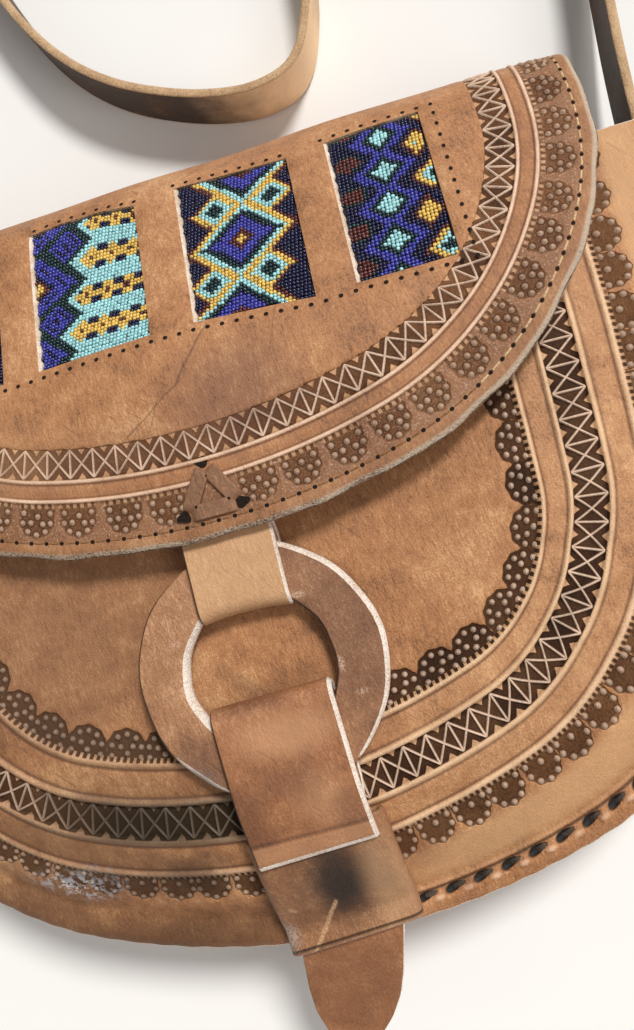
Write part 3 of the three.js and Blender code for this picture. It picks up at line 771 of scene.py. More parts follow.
PANEL = tooled_panel()
FLAP = tooled_flap()
RAW = raw_edge("raw_edge")
RAW_FLAP = raw_edge("raw_edge_flap", (180, 156, 132), (76, 57, 42))
BACK = plain_leather("back_leather")
BACK_PANEL = laced_back()
LINING = plain_leather("lining_leather", (150, 116, 84), (188, 152, 116), (212, 180, 146))
HANGER = plain_leather("hanger_leather", (172, 128, 90), (200, 154, 112), (222, 182, 142), 1.1)
RING = plain_leather(
    "ring_leather",
    (96, 62, 44),
    (166, 118, 83),
    (216, 170, 130),
    1.1,
    spots=[
        ((24, -30), (17, 30), 0.55, (92, 58, 44)),
        # painted shadow of the hanger at the ring's top right, painted shade at its lower left
        ((14, -4), (14, 8), 0.4, (110, 72, 54)),
        ((-23, -57), (14, 10), 0.55, (98, 66, 50)),
    ],
    late=[
        ((-25, -61), (6.5, 5), 0.6, (126, 128, 130)),
        ((14.5, -18), (2.0, 1.0), 0.5, SCUFF_AND_GLINT),
        ((21, -38), (1.0, 2.2), 0.45, SCUFF_AND_GLINT),
        ((24.5, -46), (1.8, 0.8), 0.4, SCUFF_AND_GLINT),
        ((-21.5, -35), (1.8, 0.7), 0.5, SCUFF_AND_GLINT),
        ((-21, -23), (1.8, 0.9), 0.35, SCUFF_AND_GLINT),
    ],
)
TONGUE = plain_leather(
    "tongue_leather",
    (100, 62, 40),
    (158, 105, 69),
    (202, 150, 110),
    1.05,
    spots=[
        # painted shade at the fold round the ring, painted highlights below it and on the lower right
        ((-6, -41), (14, 4), 0.6, (92, 56, 38)),
        ((3, -52), (15, 6), 0.5, (210, 158, 118)),
        ((8, -70), (8, 8), 0.25, (210, 164, 124)),
        ((-14, -74), (7, 13), 0.5, (88, 56, 40)),
        ((0, -64), (11, 5), 0.4, (96, 61, 43)),
        ((14, -78), (5, 10), 0.4, (100, 64, 46)),
        ((-2, -128), (26, 16), 0.4, (118, 76, 48)),
    ],
    # painted highlight on the bent end, painted shade in the crease beside it
    crease_shading=(6.2, 0.4, 0.9),
)
KEEPER = plain_leather(
    "keeper_leather",
    (96, 63, 42),
    (145, 100, 68),
    (196, 148, 108),
    1.15,
    spots=[
        ((5.5, -95.5), (14, 14), 0.7, (78, 54, 40)),
        ((4.5, -95.5), (8.5, 11), 0.9, (36, 27, 21)),
        # painted light on the keeper's rounded right side, painted shade on its left
        ((17, -99), (7, 17), 0.4, (214, 170, 128)),
        ((-13, -102), (5, 12), 0.3, (120, 82, 56)),
    ],
    streaks=[((1.5, -101), (-9.0, -115.5), 0.85, 0.6), ((-12, -101), (-10, -102), 0.8, 0.4)],
    # painted shade near the keeper's lower end
    crease_shading=(77.0, 0.75, 0.3),
    late=[((-15, -110), (3.5, 4.5), 0.55, (206, 192, 178))],
)
# dark tones: painted shade over the strap's face; the spot is a painted pool of light on its right end
SHOULDER = plain_leather(
    "shoulder_leather",
    (36, 26, 19),
    (66, 47, 33),
    (140, 98, 68),
    1.3,
    spots=[((48, 150), (30, 30), 1.0, (255, 216, 170))],
    cut_tones=((172, 136, 100), (214, 180, 140)),
)
LACE = plain_leather("lace_leather", (78, 53, 38), (136, 97, 70), (186, 144, 110))
THONG = plain_leather("thong_leather", (34, 29, 26), (70, 58, 50), (128, 110, 94), 1.2)
BEADS = bead_glass()
CLOTH = fibre_material("bead_backing", (26, 24, 34), (58, 52, 60), 1.2)
THREAD = fibre_material("stitch_thread", (176, 140, 100), (232, 206, 168), 2.5)
THREAD_BROWN = fibre_material("stitch_thread_brown", (96, 66, 44), (160, 118, 80), 2.5)
# dark discs that stand for holes: painted shade
HOLE_SHADE = fibre_material("stitch_hole_shade", (18, 12, 9), (40, 27, 20), 1.5, 0.9)


# Front panel

t_panel = np.linspace(-body.length, body.length, 661)
FIELD_FOOT = -6


def tool_warp(along, inset):
    """The tooled bands lie further in at the right corner and further out on the left."""
    where = [-body.length, -210, -150, -60, 0, 40, 120, 165, 215, body.length]
    lean = [-0.3, -0.35, -0.5, -0.32, 0.0, 0.35, 0.9, 1.0, 0.7, 0.5]
    shift = np.interp(inset, [0, 5, 17, 26.5, 37, 48, 58, 67, 76], [0, 0.5, 7, 9, 7.5, 6.5, 3, 2, 0])
    return np.interp(along, where, lean) * shift


def band_run(along, inset):
    return centred(run_of(stack(*body.place(along, inset + tool_warp(along, inset)))))


def paced(run, where, pitch):
    """Run measured so that repeats of one length there take the pitch given here."""
    middle = (t_panel[1:] + t_panel[:-1]) / 2
    steps = np.diff(run) * ZIG_PITCH / np.interp(middle, where, pitch)
    return centred(np.concatenate([[0], np.cumsum(steps)]))


RUNS = {
    "run_scallop": band_run(t_panel, 63.0),
    "run_zig": paced(band_run(t_panel, 42.3), [-120, -40, 30, 200], [7.4, 7.2, 6.9, 6.9]),
    "run_fan": band_run(t_panel, 21.5),
    "run_rim": band_run(t_panel, LACE_INSET),
}


def repeat_of(run, pitch):
    """Distance from the middle of the repeat, and its number, as in the materials."""
    turn = run / pitch + CELL_SHIFT
    number = np.floor(turn)
    return (turn - number - 0.5) * pitch, number


def lobe_ground(run, up, row):
    pitch, half, straight = row[:3]
    across, number = repeat_of(run, pitch)
    across = across + LOBE_SWAY * np.sin(number * LOBE_PACE)
    edge = np.hypot(across, np.maximum(up - straight, 0)) - half
    return smooth(0.55, -0.45, edge) * smooth(0.5, 1.6, up)


def band_ground(inset, start, end):
    return smooth(start - 0.2, start + 0.7, inset) * smooth(end + 0.2, end - 0.7, inset)


def lace_shown(along):
    """The lacing shows on the right; left of the keeper the rim hides it, as far as the photo goes."""
    return 1 - smooth(-2, -18, along) * smooth(-190, -170, along)


def stamped(along, tool):
    """Depth of the stamps and of the lacing's slots below the panel's face."""
    run = {key: np.interp(along, t_panel, values) for key, values in RUNS.items()}
    depth = 0.5 * lobe_ground(run["run_scallop"], tool - SCALLOP_FOOT, SCALLOPS)
    depth += 0.45 * lobe_ground(run["run_fan"], FANS_IN - tool, FANS)
    depth += 0.5 * band_ground(tool, ZIG_OUT, ZIG_IN)
    lace, _ = repeat_of(run["run_rim"], LACE_PITCH)
    off = tool - LACE_INSET
    slot = 1.1 * smooth(1.25, 0.6, lace_slot(lace, off, np.hypot))
    lips = 0.4 * bell(lace, 2.5, 1.6) * bell(off, -1.3, 0.9)
    return depth + (slot - lips + 0.35 * bell(off, 1.2, 0.5)) * lace_shown(along)


def ridged(inset, ridges, height, width, groove, beside, groove_width):
    """Rise of a set of ridges with a groove on either side."""
    rise = np.zeros_like(inset)
    for ridge in ridges:
        rise += height * bell(inset, ridge, width)
        for side in (ridge - beside, ridge + beside):
            rise -= groove * bell(inset, side, groove_width)
    return rise


def panel_relief(inset):
    rise = ridged(inset, RIDGES, 0.6, 0.75, 0.3, 1.5, 0.55)
    for start, end in ((RIDGE_FANS, RIDGE_ZIG_OUT), (RIDGE_ZIG_IN, RIDGE_SCALLOP)):
        part = np.clip((inset - start) / (end - start), 0, 1)
        rise -= 0.9 * part * (1 - part)
    return rise


def panel_point(along, tool, lift=None):
    """Point on the stamped face of the panel, or at a lift above the face without stamps."""
    pucker = np.cos(2 * math.pi * np.interp(along, t_panel, RUNS["run_rim"]) / LACE_PITCH)
    x, y = body.place(along, tool + tool_warp(along, tool) + 0.1 * pucker * (1 - smooth(0, 7, tool)))
    sway = 0.2 * np.sin(along / 17.0 + tool / 9.0) * smooth(6, 20, tool)
    roll = 1.2 * (1 - np.clip(tool / 3.5, 0, 1)) ** 2
    z = panel_z(x, y) + panel_relief(tool) + sway - roll
    return stack(x, y, z - stamped(along, tool) if lift is None else z + lift)


def boss_places(first, last, row):
    """Run and rise of each round boss in a row of lobes."""
    pitch, _, straight, ring, _, inside = row
    number = np.arange(math.ceil(first / pitch), math.floor(last / pitch) + 1)
    middle = number * pitch - LOBE_SWAY * np.sin((number + int(CELL_SHIFT)) * LOBE_PACE)
    angle = np.arange(-3, 4) * DOT_PACE
    near = np.array([(0.3, -0.7), (-1.7, 1.0), (1.8, 1.3)])[:inside]
    across = np.append(ring * np.sin(angle), near[:, 0])
    up = np.append(straight + ring * np.cos(angle), straight + near[:, 1])
    return (middle[:, None] + across).ravel(), np.tile(up, len(number))


def boss_mesh(run, inset, radius, height, sunk, shine):
    """Run, inset, lift and shine of the points of round bosses, with their faces; shine marks a painted
    highlight on top and, below 0, painted shade on the skirt round the foot.
    """
    sides, rings = 8, np.array([1.45, 1.0, 0.75, 0.4])
    top = sides * len(rings)
    aside = np.append(radius * rings[:, None] * np.cos(turns(sides)), 0)
    onward = np.append(radius * rings[:, None] * np.sin(turns(sides)), 0)
    rise = np.append(np.repeat(height * np.maximum(1 - rings**2, 0), sides), height) - sunk
    mark = np.append(np.repeat([-0.8, 0.3 * shine, shine, shine], sides), shine)
    last = top - sides + np.arange(sides)
    cap = stack(last, np.roll(last, -1), top)
    faces = [copies(part, len(run), top + 1) for part in (grid_faces(len(rings), sides, False, True), cap)]
    return *np.broadcast_arrays(run[:, None] + aside, inset[:, None] + onward, rise, mark), faces


def cross_lines(first, last, start, end):
    """Ends of the crossed lines and posts of a zigzag band, as run and inset."""
    half, clear = ZIG_PITCH / 2, 0.3
    middle = np.arange(math.ceil(first / ZIG_PITCH) + 1, math.floor(last / ZIG_PITCH)) * ZIG_PITCH
    low, high = start + clear, end - clear
    lines = ((-half, low, half, high), (-half, high, half, low), (half, low, half, high))
    starts = [stack(middle + a, from_inset) for a, from_inset, _, _ in lines]
    ends = [stack(middle + b, to_inset) for _, _, b, to_inset in lines]
    return np.concatenate(starts), np.concatenate(ends)


def ridge_mesh(start, end, half, height, sunk):
    """Run, inset, lift and shine of the points of raised lines, with their faces; shine marks a painted
    highlight on the crest and, below 0, painted shade at the sides.
    """
    steps = 7
    part = np.linspace(0, 1, steps)[None, :, None]
    aside = np.linspace(-1.5, 1.5, steps)
    mark = np.array([-0.6, 0.2, 1, 1, 1, 0.2, -0.6])
    rise = height * np.maximum(1 - aside**2, 0) - sunk
    start, end = (tips.T[:, :, None, None] for tips in (start, end))
    onward = (end - start) / np.hypot(*(end - start))
    run = start[0] + (end - start)[0] * part - onward[1] * aside * half
    inset = start[1] + (end - start)[1] * part + onward[0] * aside * half
    faces = copies(grid_faces(steps, steps), len(run), steps * steps)
    return *np.broadcast_arrays(run, inset, rise, mark), faces


def make_tooling(name, material, slot, surface, t, runs, margin, rows, zig, zig_shape):
    """Round bosses and raised lines of the stamps, on a surface that takes measure along, inset and lift."""
    span = {key: (run[0] + margin, run[-1] - margin) for key, run in runs.items()}
    parts = {}
    for key, row, foot, sense, clear, shape in rows:
        run, up = boss_places(*span[key], row)
        kept = np.abs(run) > clear
        parts[key] = boss_mesh(run[kept], foot + sense * up[kept], row[4], *shape)
    parts["run_zig"] = ridge_mesh(*cross_lines(*span["run_zig"], *zig), *zig_shape)
    piece = Piece(name)
    for key, (run, inset, lift, boss, faces) in parts.items():
        points = surface(np.interp(run, runs[key], t), inset, lift)
        piece.add(points, faces, 0, UP, tool_inset=inset, boss=boss, lace_off=NO_LACE, **{key: run})
    piece.build([material], slot)


def drawn_in(x, y, top, columns):
    """Field inside a line of points, drawn in to the bag's middle line."""
    part = np.linspace(0, 1, columns)
    goal = np.interp(y, [y.min(), top], [FIELD_FOOT, top])
    return x[:, None] * (1 - part), y[:, None] * (1 - part) + goal[:, None] * part, part


def rolled_edge(line, inner, profile):
    """Rounded cut edge along a line of points, turned away from an inner line."""
    outward = unit(line[:, :2] - inner[:, :2])
    edge = np.repeat(line[:, None], len(profile), axis=1)
    edge[..., :2] += outward[:, None] * profile[:, :1]
    edge[..., 2] += profile[:, 1]
    return edge


def make_front_panel():
    beside = np.array([-2.0, -1.5, -1.1, -0.7, -0.35, 0, 0.35, 0.7, 1.1, 1.5, 2.0])
    spans = ((1.2, 9.1, 0.6), (10.5, 14.6, 2.0), (15.9, 24.4, 0.85), (29.2, 34.4, 1.3))
    spans += ((39.0, 45.8, 0.9), (50.6, 55.8, 1.3), (60.4, 69.2, 0.85))
    coarse = np.concatenate([[0, 0.3, 0.7]] + [np.arange(*span) for span in spans])
    coarse = [value for value in coarse if min(abs(value - ridge) for ridge in RIDGES) > 2.2]
    inset = np.unique(np.round(np.concatenate([ridge + beside for ridge in RIDGES] + [coarse]), 3))
    along, tool = grids(t_panel, inset)
    top = panel_point(along, tool)
    piece = Piece("tooled_front_panel")
    runs = {key: run[:, None] for key, run in RUNS.items()}
    off, shown = tool - LACE_INSET, lace_shown(along)
    piece.sheet(top, 0, UP, tool_inset=tool, lace_off=off, lace_shown=shown, **runs)
    # field inside the tooling
    inner_x, inner_y, inner_z = top[:, -1].T
    x, y, part = drawn_in(inner_x, inner_y, MOUTH_Y, 14)
    rest = inner_z - panel_z(inner_x, inner_y)
    z = panel_z(x, y) + rest[:, None] * (1 - part) ** 2
    piece.sheet(stack(x, y, z), 0, UP, tool_inset=PLAIN_INSET, lace_off=NO_LACE, **runs)
    # cut edges at the rim and the mouth
    profile = np.array([[0, 0], [0.3, -0.25], [0.45, -0.7], [0.45, -1.7], [0.3, -2.15], [0, -PANEL_T]])
    piece.sheet(rolled_edge(top[:, 0], top[:, 1], profile), 1)
    x = np.linspace(-BODY_HALF, BODY_HALF, 143)[:, None]
    piece.sheet(stack(x, MOUTH_Y + profile[:, 0], panel_z(x, MOUTH_Y) + profile[:, 1]), 1, NORTH)
    # flesh side
    low_t = np.linspace(-body.length, body.length, 121)
    low_x, low_y = body.place(*grids(low_t, [0, 4, 9, 16, 24, 33, 43, 54, 66]))
    for x, y in ((low_x, low_y), drawn_in(low_x[:, -1], low_y[:, -1], MOUTH_Y, 9)[:2]):
        piece.sheet(stack(x, y, panel_z(x, y) - PANEL_T), 2, DOWN)
    piece.build([PANEL, RAW, LINING], "panel_leather", ["front_panel"])


def make_back_panel():
    outline = Outline(*BODY_SHAPE, BACK_TOP_Y)
    along = np.linspace(-outline.length, outline.length, 301)
    inset = np.array([0, 0.8, 2, 3.5, 5, 6.5, 8, 12, 20, 34, 50, 66])
    x, y = outline.place(along[:, None], inset[None])
    run = centred(run_of(stack(*outline.place(along, LACE_INSET))))
    mid_x, mid_y, _ = drawn_in(x[:, -1], y[:, -1], BACK_TOP_Y, 12)
    piece = Piece("back_panel_leather")
    for z, up, mark in ((0.0, DOWN, 0), (PANEL_T, UP, 2)):
        piece.sheet(stack(x, y, z), mark, up, tool_inset=inset, run_rim=run[:, None])
        piece.sheet(stack(mid_x, mid_y, z), mark, up, tool_inset=PLAIN_INSET)
    out, rise = np.array([[0, PANEL_T], [0.3, 2.1], [0.4, 1.6], [0.4, 0.8], [0.3, 0.3], [0, 0]]).T
    piece.sheet(stack(*outline.place(along[:, None], -out[None]), rise), 1)
    top_x = np.linspace(-BODY_HALF, BODY_HALF, 60)[:, None]
    piece.sheet(stack(top_x, BACK_TOP_Y + out, rise), 1, NORTH)
    piece.build([BACK_PANEL, RAW, LINING], "panel_leather", ["back_panel"])


def make_gusset():
    low, high = PANEL_T + GAP, RIM_Z - PANEL_T - GAP
    wall, edge, thick, flange = 7.5, 0.4, 2.0, 3.0
    inner, skirt = wall + thick, edge + 0.3

    def corner(z, from_angle, to_angle):
        angles = np.radians(np.linspace(from_angle, to_angle, 5))
        return [[wall + thick * math.cos(a), z + thick * math.sin(a)] for a in angles]

    section = [[skirt, low], [flange, low], *corner(low + thick, -90, 0)]
    section += [[inner, z] for z in np.linspace(low + 6, high - 6, 6)]
    section += corner(high - thick, 0, 90)
    section += [[flange, high], [skirt, high], [edge, high - 0.5], [edge, high - 1.5]]
    section += [[skirt, high - thick], [flange, high - thick], [wall - 0.8, high - thick], [wall, high - 2.8]]
    section += [[wall, z] for z in np.linspace(high - 6, low + 6, 8)]
    section += [[wall, low + 2.8], [wall - 0.8, low + thick], [flange, low + thick], [skirt, low + thick]]
    section = np.array(section + [[edge, low + 1.5], [edge, low + 0.5]])
    along = np.linspace(-body.length, body.length, 221)[:, None]
    wave = 0.5 * np.sin(along / 13.0) + 0.35 * np.sin(along / 7.3 + 1.0)
    inward = bell(section[:, 1], 21.5, 9.0) * (section[:, 0] >= wall - 0.01)
    x, y = body.place(along, section[:, 0] + 0.6 * inward * wave)
    cut = section[:, 0] <= skirt + 0.01
    marks = np.tile(np.where(cut & np.roll(cut, -1), 1, 0), len(along) - 1)
    piece = Piece("gusset_leather")
    piece.sheet(stack(x, y, section[:, 1]), marks, wrap=(False, True), closed=True)
    column = np.arange(len(section))
    piece.cap(column, 1)
    piece.cap(column[::-1] + piece.count - len(section), 1)
    piece.build([BACK, RAW], "panel_leather", ["gusset"], sharp=50)


# Flap

t_flap = np.linspace(-flap.length, flap.length, 641)


def flap_run(inset):
    return centred(run_of(stack(*flap.place(t_flap, inset))))


FLAP_RUNS_ALONG = {"run_fan": flap_run(9.5), "run_zig": flap_run(25.0)}

# Lean of the window edges as they were cut: shift along the leather, by place across the flap
CUT_X = [-95, -40, -30, -17, -6.8, 5.6, 38.8, 49.8, 77, 95]
CUT_LOW = [0, 1.0, 1.1, 1.3, 1.5, 1.25, -2.05, -1.35, -1.08, 0]
CUT_HIGH = [0, 0.6, 1.9, 1.4, -1.0, 0.7, -1.1, -0.35, 0.87, 0]


def flap_skin(x, length, depth):
    """Point of the worn flap, which sways a little and whose windows are cut by hand."""
    low = np.interp(x, CUT_X, CUT_LOW) * smooth(34, WINDOW_START, length) * smooth(80, WINDOW_START, length)
    high = np.interp(x, CUT_X, CUT_HIGH) * smooth(80, WINDOW_TOP, length) * smooth(125, WINDOW_TOP, length)
    sway = 0.35 * np.sin(x / 19.0 + 0.6) * np.sin(length / 23.0) + 0.2 * np.sin(x / 9.0 + length / 14.0)
    return flap_point(x, length + low + high, depth - sway)


def flap_relief(inset):
    """Depth of the border below the flap's plain face."""
    depth = 0.8 * (1 - np.clip(inset / 1.8, 0, 1)) ** 2
    depth -= ridged(inset, FLAP_RIDGES, 0.4, 0.5, 0.18, 1.1, 0.45)
    return depth + 0.15 * bell(inset, FLAP_STITCH, 0.6) + 0.3 * smooth(28.5, 28.95, inset)


def border_point(along, border, lift=None):
    """Point on the stamped border of the flap, or at a lift above the border without stamps."""
    wave = 0.25 * np.sin(along / 5.3) + 0.2 * np.sin(along / 2.9 + 1.0)
    x, length = flap.place(along, border + wave * (1 - smooth(0, 3, border)))
    for centre, width in WINDOWS:
        aside = np.abs(x - centre) - width / 2
        inside = (aside < 0) & (length > WINDOW_START) & (length < WINDOW_TOP)
        x = np.where(inside & (aside > WINDOW_START - length), centre + np.sign(x - centre) * width / 2, x)
    depth = flap_relief(border)
    if lift is None:
        run_fan = np.interp(along, t_flap, FLAP_RUNS_ALONG["run_fan"])
        depth = depth + 0.35 * lobe_ground(run_fan, FLAP_FANS_IN - border, FLAP_FANS)
        depth = depth + 0.35 * band_ground(border, FLAP_ZIG_OUT, FLAP_ZIG_IN)
    else:
        depth = depth - lift
    return flap_skin(x, length, depth)


BORDER = 28.85
BORDER_HALF = 91.9


def flap_border(piece):
    beside = np.array([-1.7, -1.1, -0.75, -0.4, 0, 0.4, 0.75, 1.1, 1.7])
    inset = [[0, 0.3, 0.7, 1.1, 1.6, 2.2, 3.0, 3.5, 3.9, 4.3], np.arange(4.9, 13.2, 0.8)]
    inset += [ridge + beside for ridge in FLAP_RIDGES]
    inset = np.concatenate(inset + [np.arange(22.7, 28.3, 0.8), [28.5, 28.7, 28.95, 29.6]])
    along, border = grids(t_flap, inset)
    top = border_point(along, border)
    runs = {key: run[:, None] for key, run in FLAP_RUNS_ALONG.items()}
    piece.sheet(top, 0, UP, tool_inset=border, **runs)
    profile = np.array([[0, 0], [0.25, -0.25], [0.3, -0.6], [0.2, -1.0], [0, -1.2]])
    piece.sheet(rolled_edge(top[:, 0], top[:, 2], profile), 1)


def flap_middle(piece):
    """Inside of the border, with the windows left out."""
    edges = sorted(centre + side * width / 2 for centre, width in WINDOWS for side in (-1, 1))
    stops = [-BORDER_HALF] + edges + [BORDER_HALF]
    spans = zip(stops, stops[1:])
    columns = [np.linspace(a, b, max(int((b - a) / 1.15), 2), endpoint=False) for a, b in spans]
    rows = np.concatenate(
        [
            BORDER + np.array([0, 0.25, 0.7]),
            np.arange(30.4, WINDOW_START - 0.5, 1.15),
            np.linspace(WINDOW_START, WINDOW_TOP, 43),
            np.arange(WINDOW_TOP + 1.2, FOLD_END, 1.6),
            np.linspace(FOLD_END, FLAP_LENGTH, 12),
        ]
    )
    s, x = grids(rows, np.concatenate(columns + [[BORDER_HALF]]))
    limit = flap.half_width(rows, BORDER)[:, None]
    x = np.clip(x, -limit, limit)
    faces = grid_faces(*x.shape)
    middle_x, middle_s = (grid.ravel()[faces].mean(1) for grid in (x, s))
    keep = np.ptp(x.ravel()[faces], axis=1) > 1e-6
    far = np.full(x.shape, 99.0)
    for centre, width in WINDOWS:
        side = np.maximum(np.abs(x - centre) - width / 2, 0)
        rise = np.maximum(np.maximum(WINDOW_START - s, s - WINDOW_TOP), 0)
        far = np.minimum(far, np.hypot(side, rise))
        beside = (np.abs(middle_x - centre) < width / 2) & (middle_s > WINDOW_START)
        keep &= ~(beside & (middle_s < WINDOW_TOP))
    near_edge = np.minimum(far, np.maximum(limit - np.abs(x), 0) + 0.15)
    soften = 0.3 * (1 - np.clip(near_edge / 1.3, 0, 1)) ** 2
    piece.add(flap_skin(x, s, soften - 0.2 * bell(far, 4, 3)), faces[keep], 0, UP, tool_inset=60.0)


def flap_windows(piece):
    """Cut sides of the windows, the left ones slanting and ragged."""
    drop = np.array([0.3, 0.55, 0.9, 1.4, 2.0])
    slant = np.array([-0.35, 0.35, 0.7, 0.95, 1.05])
    steep = np.array([0.0, 0.12, 0.16, 0.16, 0.16])
    part = np.linspace(0, 1, 40)[:, None]
    left_side = 3
    for centre, width in WINDOWS:
        half, tall = width / 2, WINDOW_HEIGHT / 2
        corners = np.array([[-half, -tall], [half, -tall], [half, tall], [-half, tall], [-half, -tall]])
        for side, (start, end) in enumerate(zip(corners, corners[1:])):
            x, s = (value[:, None] for value in (start * (1 - part) + end * part).T)
            lean = np.where(x < 0.01 - half, slant, np.where(x > half - 0.01, -steep, 0))
            ragged = (0.25 * np.sin(s * 1.7) + 0.15 * np.sin(s * 4.1)) * (side == left_side)
            wall_s = WINDOW_MIDDLE + s * (1 - steep / tall)
            wall = flap_skin(centre + x + lean * (1 + ragged), wall_s, drop)
            piece.sheet(wall, 3 if side == left_side else 1)


def make_flap():
    piece = Piece("tooled_flap")
    flap_border(piece)
    flap_middle(piece)
    flap_windows(piece)
    # flesh side, against the lining
    low_t = np.linspace(-flap.length, flap.length, 161)
    low_x, low_s = flap.place(*grids(low_t, [0.0, 8, 20, 34]))
    piece.sheet(flap_point(low_x, low_s, FLAP_T), 2, DOWN)
    piece.build([FLAP, RAW_FLAP, LINING, RAW], "flap_leather", ["flap"])


def make_lining():
    top, bottom, inset = FLAP_T + GAP, FLAP_T + GAP + LINING_T, 0.5
    rows = np.concatenate([inset + 60 * np.linspace(0, 1, 40) ** 2, np.linspace(64, FLAP_LENGTH, 60)])
    across = np.sin(np.linspace(-math.pi / 2, math.pi / 2, 61))
    x = flap.half_width(rows, inset)[:, None] * across
    piece = Piece("flap_lining_leather")
    for depth, up in ((top, UP), (bottom, DOWN)):
        piece.sheet(flap_point(x, rows[:, None], depth), 0, up)
    out, depth = np.array([[0, top], [0.2, top + 0.2], [0.2, bottom - 0.2], [0, bottom]]).T
    along = np.linspace(-flap.length, flap.length, 401)
    edge_x, edge_s = flap.place(along[:, None], inset - out[None])
    piece.sheet(flap_point(edge_x, edge_s, depth), 1)
    piece.build([LINING, RAW_FLAP], "lining_leather", ["flap_lining"])


# Beadwork

NAVY, ROYAL, TURQUOISE, GOLD, GREEN, BROWN = range(6)
PALETTE = [(16, 17, 56), (60, 61, 158), (162, 216, 220), (226, 186, 92), (10, 42, 46), (88, 40, 34)]
BEAD = 1.04
REST = 9  # a limit above every value


def folded(value, period):
    """Distance from the nearest whole repeat."""
    return np.abs(np.mod(value + period / 2, period) - period / 2)


def banded(value, *limits):
    """Colour number by the first limit that a value lies under, as pairs of limit and number."""
    colour = np.full(value.shape, -1)
    for limit, number in reversed(limits):
        colour = np.where(value < limit, number, colour)
    return colour


def chart_arrows(x, y):
    """Turquoise arrows with gold bands, royal diamonds in every second notch, chevrons in the others."""
    part = folded(y + 2.6, 12.0)
    edge = -6.3 + part * 0.95
    colour = np.where(x > edge, TURQUOISE, GREEN)
    place = np.abs(np.mod(x + 3.0, 6.1) - 3.05)
    warm = x > -3.9 + part
    colour = np.where(warm & (part < 2.0 + 1.2 * (1 - place / 3.05)), GOLD, colour)
    colour = np.where(warm & (place > 1.7) & (part > 1.1) & (part < 3.3), NAVY, colour)
    colour = np.where(warm & (place < 0.9) & (part < 0.8), BROWN, colour)
    notch = folded(y - 15.4, 24.0)
    left = x < edge - 1.3
    chevron = np.abs(x + 18) / 15.5 + (12.0 - notch) / 12.4
    arms = [(0.16, TURQUOISE), (0.30, GOLD), (0.40, BROWN), (0.5, NAVY), (0.68, ROYAL)]
    arms += [(0.73, NAVY), (0.92, ROYAL), (REST, GREEN)]
    colour = np.where(left, banded(chevron, *arms), colour)
    blue = np.abs(x + 8.6) / 5.8 + notch / 5.6
    rings = [(0.22, NAVY), (0.55, ROYAL), (0.66, NAVY), (0.95, ROYAL), (REST, GREEN)]
    return np.where(left & (blue < 1.12), banded(blue, *rings), colour)


def chart_diamonds(x, y):
    """Large royal diamond in a turquoise and gold lattice, with small diamonds between."""
    fold = folded(y, 24.4)
    big = np.abs(x) / 13.7 + fold / 12.2
    small = np.abs(np.abs(x) - 8) / 5.3 + np.abs(12.2 - fold) / 4.7
    rings = [(0.1, GOLD), (0.28, BROWN), (0.62, ROYAL), (0.70, NAVY), (0.84, GREEN)]
    rings += [(0.98, TURQUOISE), (1.12, GOLD), (1.24, BROWN)]
    colour = banded(big, *rings)
    other = banded(small, (0.58, GREEN), (1.0, TURQUOISE), (1.3, GOLD), (1.5, BROWN))
    colour = np.where((colour < 0) | ((big > 1.12) & (other >= 0)), other, colour)
    return np.maximum(colour, NAVY)


def chart_column(x, y):
    """Turquoise diamonds in a royal lattice on navy, with gold and red-brown ones at the sides."""
    fold = folded(y + 3.1, 11.2)
    colour = np.zeros(x.shape, int)
    for wide, high, number in ((9.0, 7.2, ROYAL), (5.7, 5.0, GREEN), (3.5, 3.1, TURQUOISE)):
        colour = np.where(np.abs(x) / wide + fold / high < 1, number, colour)
    long = folded(y + 8.7, 22.4)
    gold = np.abs(x - 9.8) / 3.4 + long / 4.2
    half = np.abs(x - 13.4) / 6.2 + (11.2 - long) / 5.6
    colour = np.where(gold < 1.3, banded(gold, (0.2, TURQUOISE), (0.95, GOLD), (REST, BROWN)), colour)
    rings = [(0.35, GREEN), (0.62, TURQUOISE), (0.95, GOLD), (REST, BROWN)]
    colour = np.where(half < 1.15, banded(half, *rings), colour)
    red = np.hypot((x + 9.6) / 3.4, (5.6 - fold) / 2.4)
    return np.where(red < 1.0, BROWN, np.where(red < 1.25, GREEN, colour))


def chart_mirrored(x, y):
    return chart_column(-x, y)


# Charts with the lean of their columns and the rise of their rows
CHARTS = [
    (chart_mirrored, 0.1, 0.0),
    (chart_arrows, 0.2, -0.02),
    (chart_diamonds, 0.157, 0.047),
    (chart_column, 0.072, 0.016),
]


